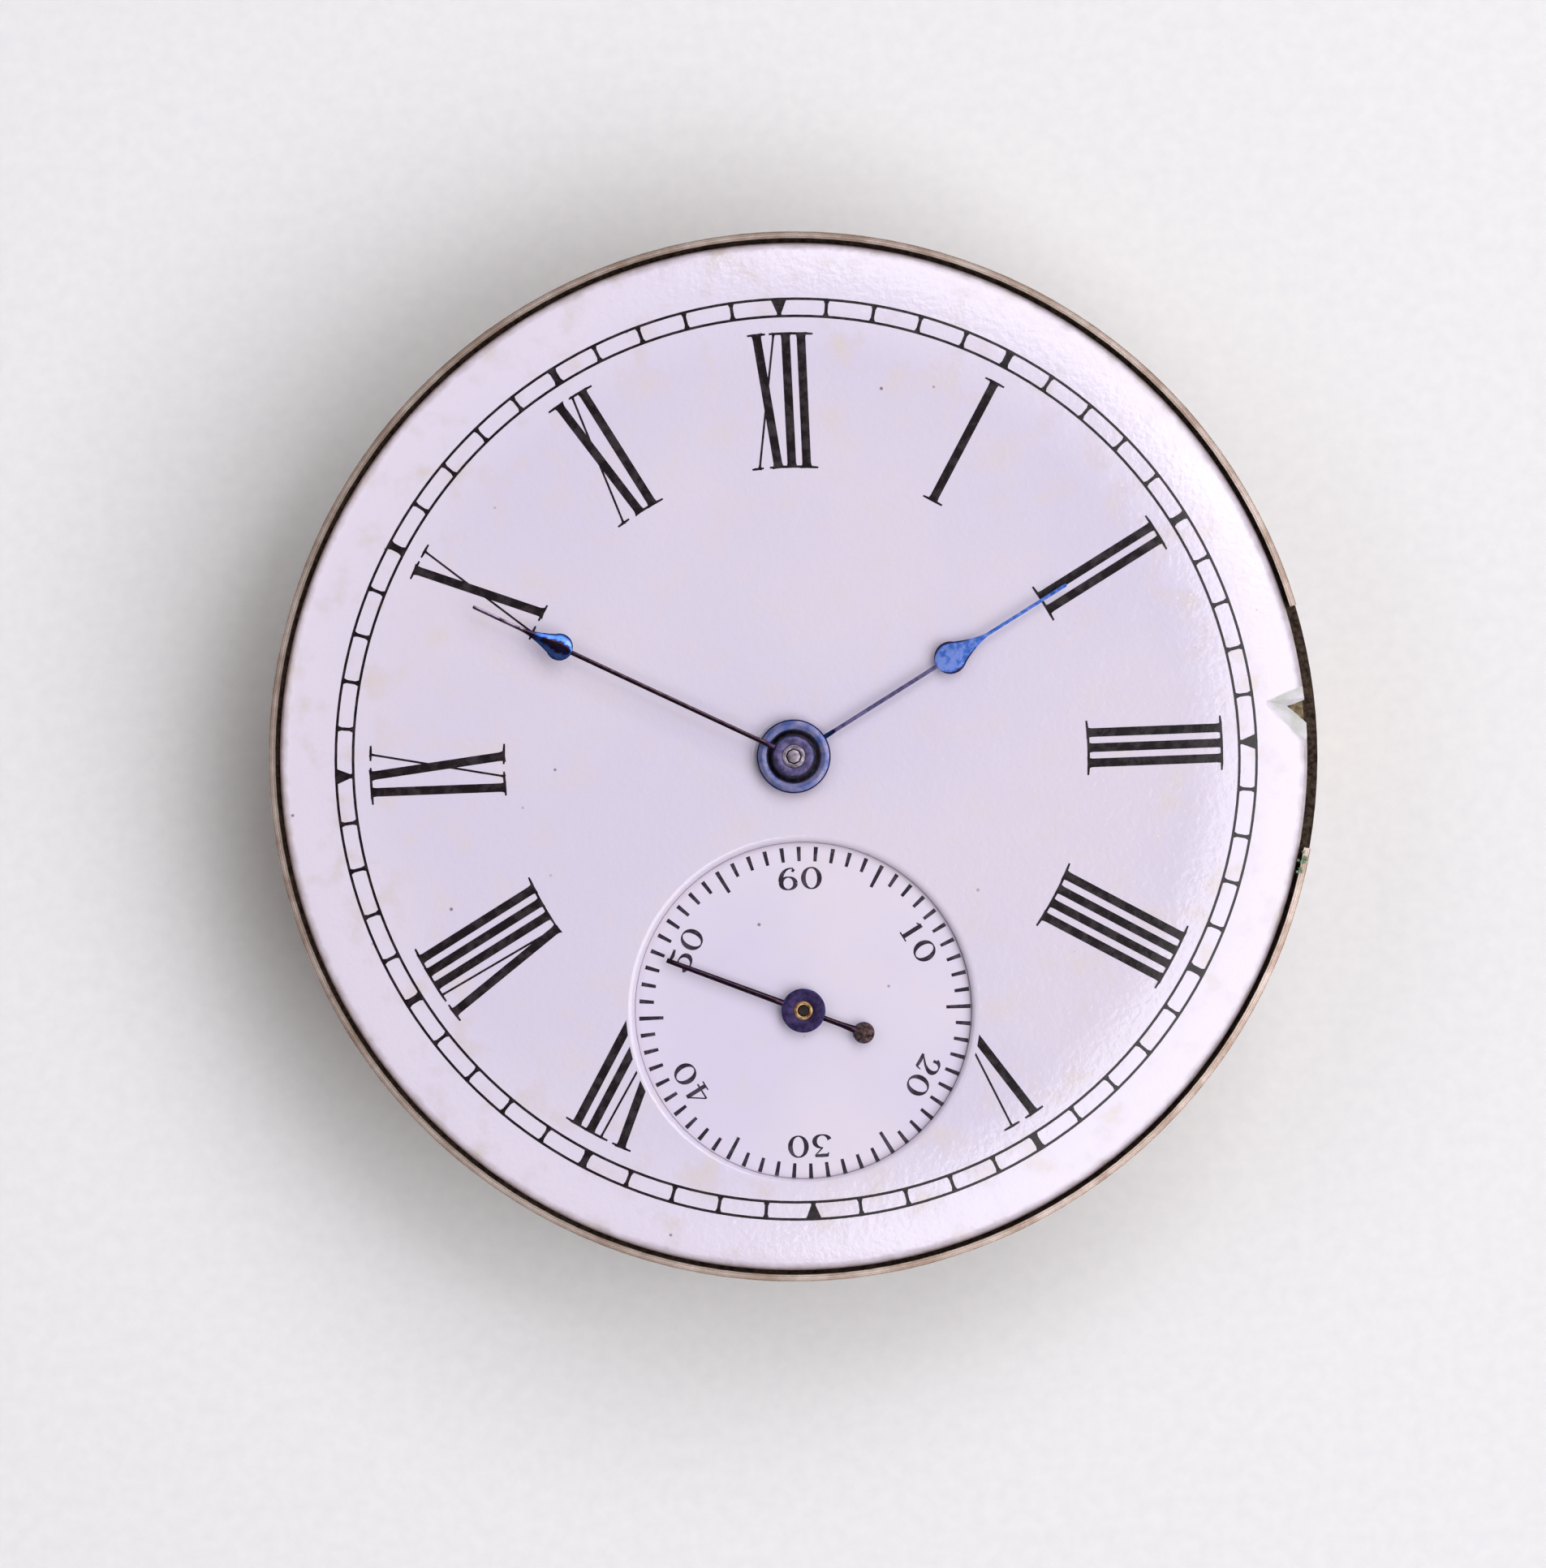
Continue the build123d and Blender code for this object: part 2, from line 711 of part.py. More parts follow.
with BuildPart() as minute_hand:
    arm = (minute_hand_length, minute_arm_width, minute_tip_width)
    drop = (minute_drop_distance, minute_drop_radius, minute_drop_taper)
    bore = cannon_tip_radius + seat_gap
    pear_hand(centre_at, minute_hand_base, minute_hand_angle, minute_boss_radius, bore, arm, drop)

with BuildPart() as seconds_hand:
    with BuildSketch(level(fourth_at, seconds_hand_base, seconds_hand_angle)):
        turned(seconds_hub_radius, sides=boss_sides)
        tapered_arm(seconds_hand_length, seconds_arm_width, seconds_tip_width)
        Rectangle(seconds_tail_length, seconds_tip_width, align=(Align.MAX, Align.CENTER))
        with Locations((-seconds_tail_length, 0)):
            turned(seconds_tail_radius, sides=boss_sides)
        bored(seconds_pipe_radius + seat_gap, boss_sides)
    extrude(amount=hand_thickness)

with BuildPart() as seconds_pipe:
    pipe_low = seconds_hand_base - hand_spacing
    pipe_high = seconds_hand_base + hand_thickness + hand_edge
    with BuildSketch(level(fourth_at, pipe_low, seconds_hand_angle)):
        turned(seconds_pipe_radius, sides=boss_sides)
        bored(seconds_arbor_radius + seat_gap)
    extrude(amount=pipe_high - pipe_low)

# Motion work
hour_wheel_base = -washer_thickness - hour_wheel_thickness - hand_edge - running_gap
minute_wheel_base = motion_floor + 2 * end_shake
with BuildPart() as cannon_pinion:
    with BuildSketch(Plane.XY.offset(motion_floor + end_shake / 2)):
        add(toothed_face(cannon_leaves, cannon_pitch_radius, motion_angle))
    extrude(amount=hour_wheel_base - end_shake - motion_floor - end_shake / 2)
    steps(centre_at, (cannon_pipe_radius, hour_wheel_base - end_shake, minute_hand_base))
    with BuildSketch(level(centre_at, minute_hand_base)):
        turned(cannon_tip_radius, sides=boss_sides)
    extrude(amount=cannon_top - minute_hand_base)
    hole(centre_at, hand_arbor_radius + running_gap, motion_floor, cannon_top)

with BuildPart() as minute_wheel:
    phase = partner_phase(motion_angle + 180, minute_wheel_teeth)
    with BuildSketch(level(minute_at, minute_wheel_base)):
        add(toothed_face(minute_wheel_teeth, minute_pitch_radius, phase))
        bored(minute_stud_radius + running_gap)
    extrude(amount=wheel_thickness)

with BuildPart() as minute_pinion:
    with BuildSketch(level(minute_at, minute_wheel_base + wheel_thickness)):
        add(toothed_face(minute_leaves, minute_pinion_radius, motion_angle + 180))
        bored(minute_stud_radius + running_gap)
    extrude(amount=-end_shake - minute_wheel_base - wheel_thickness)

with BuildPart() as minute_wheel_stud:
    steps(
        minute_at,
        (minute_stud_radius, motion_floor, -end_shake),
        (2 * minute_stud_radius, motion_floor, minute_wheel_base - running_gap),
    )

with BuildPart() as hour_wheel:
    phase = partner_phase(motion_angle, hour_wheel_teeth)
    with BuildSketch(Plane.XY.offset(hour_wheel_base)):
        add(toothed_face(hour_wheel_teeth, hour_pitch_radius, phase))
    extrude(amount=hour_wheel_thickness)
    with BuildSketch(level(centre_at, hour_wheel_base)):
        turned(hour_pipe_radius, sides=boss_sides)
    extrude(amount=hour_hand_base + hand_boss_height - hand_edge - hour_wheel_base)
    hole(centre_at, cannon_pipe_radius + running_gap, hour_wheel_base, cannon_top)

with BuildPart() as dial_washer:
    washer_base = -washer_thickness - running_gap
    ring(centre_at, washer_radius, hour_pipe_radius + hand_edge, washer_base, -running_gap)

# Going barrel
with BuildPart() as barrel_drum:
    phase = partner_phase(barrel_angle + 180, barrel_teeth)
    with BuildSketch(level(barrel_at, great_wheel_base)):
        add(toothed_face(barrel_teeth, barrel_pitch_radius, phase))
    extrude(amount=great_wheel_thickness)
    steps(barrel_at, (barrel_drum_radius, barrel_base, great_wheel_base))
    hole(barrel_at, barrel_drum_radius - barrel_wall, barrel_base, barrel_top - barrel_floor)
    hole(barrel_at, barrel_pivot_radius + running_gap, barrel_base, barrel_top)

cover_top = barrel_base + barrel_cover_thickness
with BuildPart() as barrel_cover:
    cover_radius = barrel_drum_radius - barrel_wall - seat_gap
    ring(barrel_at, cover_radius, barrel_pivot_radius + running_gap, barrel_base, cover_top)

with BuildPart() as barrel_arbor:
    steps(
        barrel_at,
        (barrel_pivot_radius, top_outer, pivot_top),
        (barrel_core_radius, cover_top + running_gap, barrel_top - barrel_floor - running_gap),
    )
    with BuildSketch(level(barrel_at, winding_wheel_base)):
        Rectangle(barrel_square, barrel_square)
    extrude(amount=top_outer - winding_wheel_base)
    hole(barrel_at, small_screw_radius + seat_gap, winding_wheel_base, top_outer + end_shake)

with BuildPart() as mainspring:
    outer_coil = barrel_drum_radius - barrel_wall - mainspring_slack
    inner_coil = outer_coil - mainspring_half_turns * mainspring_step / 2
    with BuildSketch(level(barrel_at, cover_top + end_shake)):
        add(spiral_strip(inner_coil, mainspring_half_turns, mainspring_step, mainspring_strip))
    extrude(amount=barrel_top - barrel_floor - cover_top - 2 * end_shake)

# Going train
with BuildPart() as centre_wheel:
    phase = bearing(centre_at, third_at)
    with BuildSketch(Plane.XY.offset(centre_wheel_base)):
        add(crossed_wheel(centre_teeth, centre_pitch_radius, centre_journal_radius + seat_gap, phase))
    extrude(amount=wheel_thickness)

with BuildPart() as centre_arbor:
    with BuildSketch(Plane.XY.offset(great_wheel_base - barrel_gap)):
        add(toothed_face(centre_leaves, centre_pinion_radius, barrel_angle))
    extrude(amount=centre_wheel_base - great_wheel_base + barrel_gap)
    steps(
        centre_at,
        (centre_journal_radius, shaft_base, motion_floor),
        (pivot_radius + arbor_radius, pivot_base, shaft_base),
        (hand_arbor_radius, motion_floor, cannon_top + 2 * hand_edge),
    )

with BuildPart() as third_wheel:
    phase = bearing(third_at, fourth_at)
    with BuildSketch(level(third_at, third_wheel_base)):
        add(crossed_wheel(third_teeth, third_pitch_radius, arbor_radius + seat_gap, phase))
    extrude(amount=wheel_thickness)

with BuildPart() as third_arbor:
    phase = partner_phase(bearing(third_at, centre_at), third_leaves)
    with BuildSketch(level(third_at, centre_wheel_base - barrel_gap)):
        add(toothed_face(third_leaves, third_pinion_radius, phase))
    extrude(amount=shaft_top - centre_wheel_base + barrel_gap)
    steps(third_at, (arbor_radius, shaft_base, shaft_top), (pivot_radius, pivot_base, pivot_top))

with BuildPart() as fourth_wheel:
    phase = bearing(fourth_at, escape_at)
    with BuildSketch(level(fourth_at, fourth_wheel_base)):
        add(crossed_wheel(fourth_teeth, fourth_pitch_radius, arbor_radius + seat_gap, phase))
    extrude(amount=wheel_thickness)

with BuildPart() as fourth_arbor:
    phase = partner_phase(bearing(fourth_at, third_at), fourth_leaves)
    with BuildSketch(level(fourth_at, third_wheel_base - end_shake)):
        add(toothed_face(fourth_leaves, fourth_pinion_radius, phase))
    extrude(amount=wheel_thickness + 2 * end_shake)
    steps(
        fourth_at,
        (arbor_radius, shaft_base, shaft_top),
        (seconds_arbor_radius, pivot_base, seconds_hand_base + hand_thickness),
    )

with BuildPart() as escape_wheel:
    escape_root = escape_tip_radius * escape_root_share
    profile = zip(escape_tooth_shares, (escape_root, escape_tip_radius, escape_tip_radius, escape_root))
    corners = [(radius, share) for share, radius in profile]
    tooth_phase = escapement_angle + 180 / escape_teeth
    points = [
        polar(radius, tooth_phase + (tooth + share) * 360 / escape_teeth)
        for tooth in range(escape_teeth)
        for radius, share in corners
    ]
    with BuildSketch(level(escape_at, escape_wheel_base)):
        with BuildLine():
            Polyline(*points, close=True)
        make_face()
        Circle(escape_root * rim_share, mode=Mode.SUBTRACT)
        with PolarLocations(0, wheel_arms):
            Rectangle(escape_root * (1 + rim_share) / 2, escape_arm_width, align=(Align.MIN, Align.CENTER))
        turned(escape_hub_radius)
        bored(escape_arbor_radius + seat_gap)
    extrude(amount=wheel_thickness)

with BuildPart() as escape_arbor:
    phase = partner_phase(escapement_angle + 180, escape_leaves)
    with BuildSketch(level(escape_at, fourth_wheel_base - end_shake)):
        add(toothed_face(escape_leaves, escape_pinion_radius, phase))
    extrude(amount=wheel_thickness + 2 * end_shake)
    steps(
        escape_at,
        (escape_arbor_radius, bridge_shaft_base, shaft_top),
        (pivot_radius, bridge_pivot_base, pivot_top),
    )

# Lever escapement, its lever laid along the line from escape wheel to balance
stone_reach = escape_tip_radius + pallet_clearance
stone_places = [polar(stone_reach, side * pallet_stone_angle, (-pallet_distance, 0)) for side in (-1, 1)]
stone_tails = [
    polar(stone_reach + pallet_stone_length, side * pallet_stone_angle, (-pallet_distance, 0))
    for side in (-1, 1)
]
impulse_reach = lever_reach - roller_pin_reach
with BuildPart() as pallet_lever:
    with BuildSketch(level(pallet_at, escape_wheel_base, escapement_angle)):
        turned(lever_hub_radius)
        for place, tail in zip(stone_places, stone_tails):
            middle = between(place, tail, 3 / 4)
            with BuildLine():
                arm = Line((0, 0), middle)
            trace(arm.edge(), lever_arm_width)
            with Locations(Location((*middle, 0), (0, 0, bearing(place, tail)))):
                Rectangle(pallet_stone_length, 2 * pallet_stone_width)
        with Locations((impulse_reach / 2, 0)):
            Rectangle(impulse_reach, lever_arm_width)
        with Locations((impulse_reach, 0)):
            Rectangle(2 * fork_slot_depth, fork_width)
        with Locations((impulse_reach, 0)):
            Rectangle(fork_slot_depth, fork_slot_width, mode=Mode.SUBTRACT)
        with Locations((impulse_reach + fork_slot_depth, 0)):
            Rectangle(fork_slot_depth * 2, fork_slot_width, mode=Mode.SUBTRACT)
        with Locations((lever_reach, 0)):
            bored(staff_radius + end_shake)
        slot_length = pallet_stone_length + 2 * seat_gap
        slot_width = pallet_stone_width + 2 * seat_gap
        for place, tail in zip(stone_places, stone_tails):
            middle = between(place, tail, 1 / 2)
            with Locations(Location((*middle, 0), (0, 0, bearing(place, tail)))):
                Rectangle(slot_length, slot_width, mode=Mode.SUBTRACT)
        bored(escape_arbor_radius + seat_gap)
    extrude(amount=lever_thickness)

with BuildPart() as pallet_stones:
    with BuildSketch(level(pallet_at, escape_wheel_base, escapement_angle)):
        for place, tail in zip(stone_places, stone_tails):
            middle = ((place[0] + tail[0]) / 2, (place[1] + tail[1]) / 2)
            with Locations(Location((*middle, 0), (0, 0, bearing(place, tail)))):
                Rectangle(pallet_stone_length, pallet_stone_width)
    extrude(amount=lever_thickness)

with BuildPart() as pallet_arbor:
    steps(
        pallet_at,
        (escape_arbor_radius, bridge_shaft_base, shaft_top),
        (pivot_radius, bridge_pivot_base, pivot_top),
    )

with BuildPart() as escapement_bridge:
    with BuildSketch(Plane.XY.offset(bridge_base)):
        with BuildLine():
            foot_edge = CenterArc(bridge_foot_at, bridge_foot_radius, 0, 360)
            escape_edge = CenterArc(escape_at, bridge_hub_radius, 0, 360)
            pallet_edge = CenterArc(pallet_at, bridge_hub_radius, 0, 360)
        make_hull()
    extrude(amount=bridge_thickness)
    steps(bridge_foot_at, (bridge_foot_radius, bridge_top, plate_inner))
    for point in (escape_at, pallet_at):
        hole(point, pivot_radius + running_gap, bridge_base, bridge_top)
    hole(bridge_foot_at, screw_radius + seat_gap, bridge_base, plate_inner)
    hole(bridge_foot_at, screw_head_radius + seat_gap, bridge_base, bridge_base + screw_head_sink)

# Balance, hairspring and cock
with BuildPart() as balance_wheel:
    with BuildSketch(level(balance_at, balance_rim_base)):
        Circle(balance_rim_radius)
        Circle(balance_rim_radius - balance_rim_width, mode=Mode.SUBTRACT)
    extrude(amount=balance_rim_height)
    with BuildSketch(level(balance_at, balance_arm_base, escapement_angle)):
        Rectangle(2 * balance_rim_radius - balance_rim_width, balance_arm_width)
        turned(balance_hub_radius)
        bored(staff_radius + seat_gap)
    extrude(amount=balance_arm_thickness)

with BuildPart() as balance_screws:
    screw_level = balance_rim_base + balance_rim_height / 2
    for side in (0, 180):
        for angle in balance_screw_angles:
            screw_angle = escapement_angle + side + angle
            start = polar(balance_rim_radius, screw_angle, balance_at)
            with BuildSketch(Plane((*start, screw_level), z_dir=(*polar(1, screw_angle), 0))):
                turned(balance_screw_radius)
            extrude(amount=balance_screw_length)

with BuildPart() as balance_staff:
    steps(
        balance_at,
        (staff_radius, top_outer + end_shake, shaft_top),
        (staff_pivot_radius, top_outer - jewel_thickness, pivot_top),
    )

roller_base = escape_wheel_base - roller_thickness - end_shake
with BuildPart() as roller:
    ring(balance_at, roller_radius, staff_radius + seat_gap, roller_base, roller_base + roller_thickness)

with BuildPart() as impulse_pin:
    pin_at = polar(roller_pin_reach, escapement_angle + 180, balance_at)
    steps(pin_at, (impulse_pin_radius, roller_base + roller_thickness, escape_wheel_base + lever_thickness))

with BuildPart() as collet:
    collet_base = spring_base + (spring_height - collet_height) / 2
    ring(balance_at, collet_radius, staff_radius + seat_gap, collet_base, collet_base + collet_height)

coil_inner = collet_radius + spring_gap + spring_strip / 2
with BuildPart() as hairspring:
    with BuildSketch(level(balance_at, spring_base, cock_angle)):
        add(spiral_strip(coil_inner, spring_half_turns, spring_step, spring_strip))
    extrude(amount=spring_height)

coil_outer = coil_inner + spring_half_turns * spring_step / 2
with BuildPart() as hairspring_stud:
    stud_at = polar(coil_outer + spring_strip / 2 + spring_stud_radius, cock_angle, balance_at)
    steps(stud_at, (spring_stud_radius, top_outer, spring_base + spring_height))

with BuildPart() as balance_cock:
    with BuildSketch(Plane.XY.offset(cock_base)):
        with BuildLine():
            head_edge = CenterArc(balance_at, cock_head_radius, 0, 360)
            foot_edge = CenterArc(cock_foot_at, cock_foot_radius, 0, 360)
        make_hull()
    extrude(amount=cock_thickness)
    hole(balance_at, jewel_radius, cock_base, top_outer)
    hole(cock_foot_at, screw_radius + seat_gap, cock_base, top_outer)
    hole(cock_foot_at, screw_head_radius + seat_gap, cock_base, cock_base + screw_head_sink)

with BuildPart() as cap_setting:
    setting_base = cock_base - cap_setting_height
    ring(balance_at, cap_setting_radius, cap_jewel_radius + seat_gap, setting_base, cock_base)

with BuildPart() as cap_jewel:
    steps(balance_at, (cap_jewel_radius, cock_base - cap_setting_height, cock_base))

with BuildPart() as regulator:
    pin_middle = coil_outer - spring_step
    regulator_base = cock_base - regulator_thickness
    with BuildSketch(level(balance_at, regulator_base, cock_angle + regulator_angle)):
        turned(regulator_ring_radius)
        Rectangle(pin_middle + spring_step, 2 * regulator_tail_width, align=(Align.MIN, Align.CENTER))
        with PolarLocations(0, 1, start_angle=-regulator_angle):
            Rectangle(regulator_tail_length, regulator_tail_width, align=(Align.MIN, Align.CENTER))
        bored(cap_setting_radius + running_gap)
    extrude(amount=regulator_thickness)
    for reach in (pin_middle - spring_step / 2, pin_middle + spring_step / 2):
        place = polar(reach, cock_angle + regulator_angle, balance_at)
        steps(place, (regulator_pin_radius, cock_base, spring_base + spring_height))

# Pierced jewels of the balance
with BuildPart() as balance_jewels:
    ring(balance_at, jewel_radius - seat_gap, staff_pivot_radius + running_gap, plate_inner, pivot_top)
    cock_jewel_base = top_outer - jewel_thickness
    ring(balance_at, jewel_radius - seat_gap, staff_pivot_radius + running_gap, cock_jewel_base, top_outer)

# Winding wheels, click and its spring
with BuildPart() as ratchet_wheel:
    phase = bearing(barrel_at, crown_at)
    with BuildSketch(level(barrel_at, winding_wheel_base)):
        add(toothed_face(ratchet_teeth, ratchet_pitch_radius, phase))
        Rectangle(barrel_square + 2 * seat_gap, barrel_square + 2 * seat_gap, mode=Mode.SUBTRACT)
    extrude(amount=winding_wheel_thickness)

with BuildPart() as ratchet_screw:
    length = winding_wheel_thickness
    slot_angle = ratchet_slot_angle
    slotted_screw(barrel_at, small_screw_radius, screw_head_radius, winding_wheel_base, length, slot_angle)

with BuildPart() as crown_wheel:
    phase = partner_phase(bearing(crown_at, barrel_at), crown_teeth)
    with BuildSketch(level(crown_at, winding_wheel_base)):
        add(toothed_face(crown_teeth, crown_pitch_radius, phase))
        bored(crown_core_radius + running_gap)
    extrude(amount=winding_wheel_thickness)
    tooth_base = winding_wheel_base + winding_wheel_thickness
    tooth_width = contrate_pitch_radius * radians(360 / contrate_teeth) * contrate_tooth_share
    with BuildSketch(level(crown_at, tooth_base)):
        with PolarLocations(contrate_pitch_radius, contrate_teeth):
            Rectangle(contrate_width, tooth_width)
    extrude(amount=top_outer + contrate_height - tooth_base)

with BuildPart() as crown_core:
    steps(
        crown_at,
        (crown_core_radius, winding_wheel_base - running_gap, top_outer + crown_recess_depth),
        (crown_cap_radius, crown_cap_base, winding_wheel_base - running_gap),
    )

with BuildPart() as winding_pinion:
    with BuildSketch(Plane((pinion_middle, 0, stem_height), x_dir=(0, 0, -1), z_dir=(1, 0, 0))):
        add(toothed_face(winding_pinion_teeth, winding_pinion_radius, 180 / winding_pinion_teeth))
        Circle(stem_radius + running_gap, mode=Mode.SUBTRACT)
    extrude(amount=winding_pinion_length / 2, both=True)

click_aim = bearing(click_at, barrel_at)
with BuildPart() as click:
    beak_reach = click_gap - addendum_share * 2 * ratchet_pitch_radius / ratchet_teeth + click_beak_depth
    with BuildSketch(level(click_at, winding_wheel_base, click_aim)):
        turned(click_radius)
        with BuildLine():
            Polyline((0, click_radius), (beak_reach, 0), (0, -click_radius), close=True)
        make_face()
        bored(small_screw_radius + running_gap)
    extrude(amount=winding_wheel_thickness)

with BuildPart() as click_screw:
    click_seat = winding_wheel_base - running_gap
    slotted_screw(click_at, small_screw_radius, small_head_radius, click_seat, screw_length)

with BuildPart() as click_spring:
    leaf_side = click_radius + running_gap
    foot_local = (-click_spring_length, -leaf_side - small_head_radius)
    with BuildSketch(level(click_at, winding_wheel_base, click_aim)):
        with Locations(foot_local):
            turned(small_head_radius)
        with Locations((-click_spring_length, -leaf_side)):
            leaf_length = click_spring_length + click_radius / 2
            Rectangle(leaf_length, click_spring_width, align=(Align.MIN, Align.MAX))
    extrude(amount=winding_wheel_thickness)
    with BuildSketch(level(click_at, winding_wheel_base, click_aim)):
        with Locations(foot_local):
            turned(small_head_radius)
    extrude(amount=top_outer - winding_wheel_base)

pieces = {
    "pillar_plate": pillar_plate,
    "plate_pillars": plate_pillars,
    "stem_bearings": stem_bearings,
    "top_plate": top_plate,
    "plate_screws": plate_screws,
    "dial_copper": dial_copper,
    "dial_enamel": dial_enamel,
    "seconds_bit": seconds_bit,
    "dial_foot_screws": dial_foot_screws,
    "hour_hand": hour_hand,
    "minute_hand": minute_hand,
    "seconds_hand": seconds_hand,
    "seconds_pipe": seconds_pipe,
    "cannon_pinion": cannon_pinion,
    "minute_wheel": minute_wheel,
    "minute_pinion": minute_pinion,
    "minute_wheel_stud": minute_wheel_stud,
    "hour_wheel": hour_wheel,
    "dial_washer": dial_washer,
    "barrel_drum": barrel_drum,
    "barrel_cover": barrel_cover,
    "barrel_arbor": barrel_arbor,
    "mainspring": mainspring,
    "centre_wheel": centre_wheel,
    "centre_arbor": centre_arbor,
    "third_wheel": third_wheel,
    "third_arbor": third_arbor,
    "fourth_wheel": fourth_wheel,
    "fourth_arbor": fourth_arbor,
    "escape_wheel": escape_wheel,
    "escape_arbor": escape_arbor,
    "pallet_lever": pallet_lever,
    "pallet_stones": pallet_stones,
    "pallet_arbor": pallet_arbor,
    "escapement_bridge": escapement_bridge,
    "balance_wheel": balance_wheel,
    "balance_screws": balance_screws,
    "balance_staff": balance_staff,
    "roller": roller,
    "impulse_pin": impulse_pin,
    "collet": collet,
    "hairspring": hairspring,
    "hairspring_stud": hairspring_stud,
    "balance_cock": balance_cock,
    "cap_setting": cap_setting,
    "cap_jewel": cap_jewel,
    "regulator": regulator,
    "balance_jewels": balance_jewels,
    "ratchet_wheel": ratchet_wheel,
    "ratchet_screw": ratchet_screw,
    "crown_wheel": crown_wheel,
    "crown_core": crown_core,
    "winding_pinion": winding_pinion,
    "click": click,
    "click_screw": click_screw,
    "click_spring": click_spring,
}
lift_to_origin = Location((0, 0, register_shoulder))
os.makedirs("parts", exist_ok=True)
for label, piece in pieces.items():
    placed = piece.part.moved(lift_to_origin)
    placed.label = label
    export_step(placed, f"parts/{label}.step")
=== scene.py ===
"""A small pocket-watch movement under its enamel dial, dressed for the render."""
import logging
import math
import random
from collections.abc import Callable, Iterator, Sequence
from contextlib import contextmanager
from dataclasses import dataclass, replace
from enum import Enum

import bmesh
import bpy
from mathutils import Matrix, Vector


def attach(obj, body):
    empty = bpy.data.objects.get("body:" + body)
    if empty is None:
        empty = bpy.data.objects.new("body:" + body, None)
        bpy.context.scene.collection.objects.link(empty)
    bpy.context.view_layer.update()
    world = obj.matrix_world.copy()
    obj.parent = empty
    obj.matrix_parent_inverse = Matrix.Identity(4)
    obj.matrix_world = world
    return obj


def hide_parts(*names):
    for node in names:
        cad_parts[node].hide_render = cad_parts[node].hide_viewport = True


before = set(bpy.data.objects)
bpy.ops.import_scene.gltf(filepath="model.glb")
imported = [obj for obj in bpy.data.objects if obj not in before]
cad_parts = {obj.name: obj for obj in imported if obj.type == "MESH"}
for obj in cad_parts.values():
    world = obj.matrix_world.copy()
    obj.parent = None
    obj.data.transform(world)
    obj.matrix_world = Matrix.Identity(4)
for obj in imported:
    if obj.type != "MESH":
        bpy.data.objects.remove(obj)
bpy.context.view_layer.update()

log = logging.getLogger("watch_dial")

# Sizes are in mm, and Blender's lengths in metres
MM = 0.001
# Points nearer to each other than this, in metres, are one
MERGE = 1e-7
# Points nearer to a lathe's axis than this, in mm, lie on it
ON_AXIS = 0.001

Piece = bpy.types.Object
Tree = bpy.types.NodeTree
Socket = bpy.types.NodeSocket
Inputs = dict[str | int, object] | Sequence[object]
Point = tuple[float, float]
Station = tuple[float, float, float]
Test = Callable[[Vector, Vector], bool]


def polar(radius: float, angle: float, centre: Point = (0.0, 0.0)) -> Point:
    """The point at a radius and an angle about a centre.

    Args:
        radius: Distance from the centre, in mm.
        angle: Degrees from +X towards +Y.
        centre: The centre, in mm.

    Returns:
        The point, in mm.
    """
    turn_to = math.radians(angle)
    return (centre[0] + radius * math.cos(turn_to), centre[1] + radius * math.sin(turn_to))


def bearing(start: Point, end: Point) -> float:
    """The angle in degrees of the line from one point to another."""
    return math.degrees(math.atan2(end[1] - start[1], end[0] - start[0]))


# Places of the arbors on the plates, in mm
CENTRE: Point = (0.0, 0.0)
FOURTH: Point = (0.0, -8.4)
BARREL: Point = (5.5685, 5.5685)
BALANCE: Point = (-8.1974, -2.6004)
CROWN: Point = (11.991, 0.0)
CLICK: Point = (2.3185, 11.198)
COCK_FOOT: Point = (-9.3, 8.6)
BRIDGE_FOOT: Point = (-6.4, -9.6)

# The balance cock's direction in degrees, and the pillars' circle in mm with their angles on it
COCK_ANGLE = bearing(BALANCE, COCK_FOOT)
PILLAR_CIRCLE = 15.0
PILLAR_ANGLES = (100, 165, 262, 320)

# Heights in mm, from the case's seat upwards
DIAL_FRONT = 1.5
PLATE_FACE = 0.55
BIT_FRONT = 1.15
PLATE_INNER = -1.35
TOP_OUTER = -5.15
COCK_BASE = -5.85
BRIDGE_BASE = -3.56
BARREL_SEAT = -5.55
CLICK_SEAT = -5.57

# The dial's flat middle, and its dome that falls to the edge, in mm
DIAL_RADIUS = 17.0
DOME_START = 13.0
DOME_DROP = 0.34
EDGE_ROUND = 0.24


def dial_height(radius: float) -> float:
    """The height of the enamel's face at a radius, both in mm."""
    share = max(0.0, radius - DOME_START) / (DIAL_RADIUS - EDGE_ROUND - DOME_START)
    return DIAL_FRONT - DOME_DROP * share**2


# Modelling by hand, in code


def select_only(piece: Piece) -> None:
    """Leaves one object selected and active.

    Args:
        piece: The object.
    """
    bpy.ops.object.select_all(action="DESELECT")
    piece.select_set(True)
    bpy.context.view_layer.objects.active = piece


@contextmanager
def editing(piece: Piece) -> Iterator[None]:
    """Opens a piece in edit mode with all of it selected, and closes it after.

    Args:
        piece: The piece.
    """
    select_only(piece)
    bpy.ops.object.mode_set(mode="EDIT")
    bpy.ops.mesh.select_all(action="SELECT")
    yield
    bpy.ops.object.mode_set(mode="OBJECT")


class Part(Enum):
    """What a selection is made of."""

    VERT = "verts"
    EDGE = "edges"
    FACE = "faces"


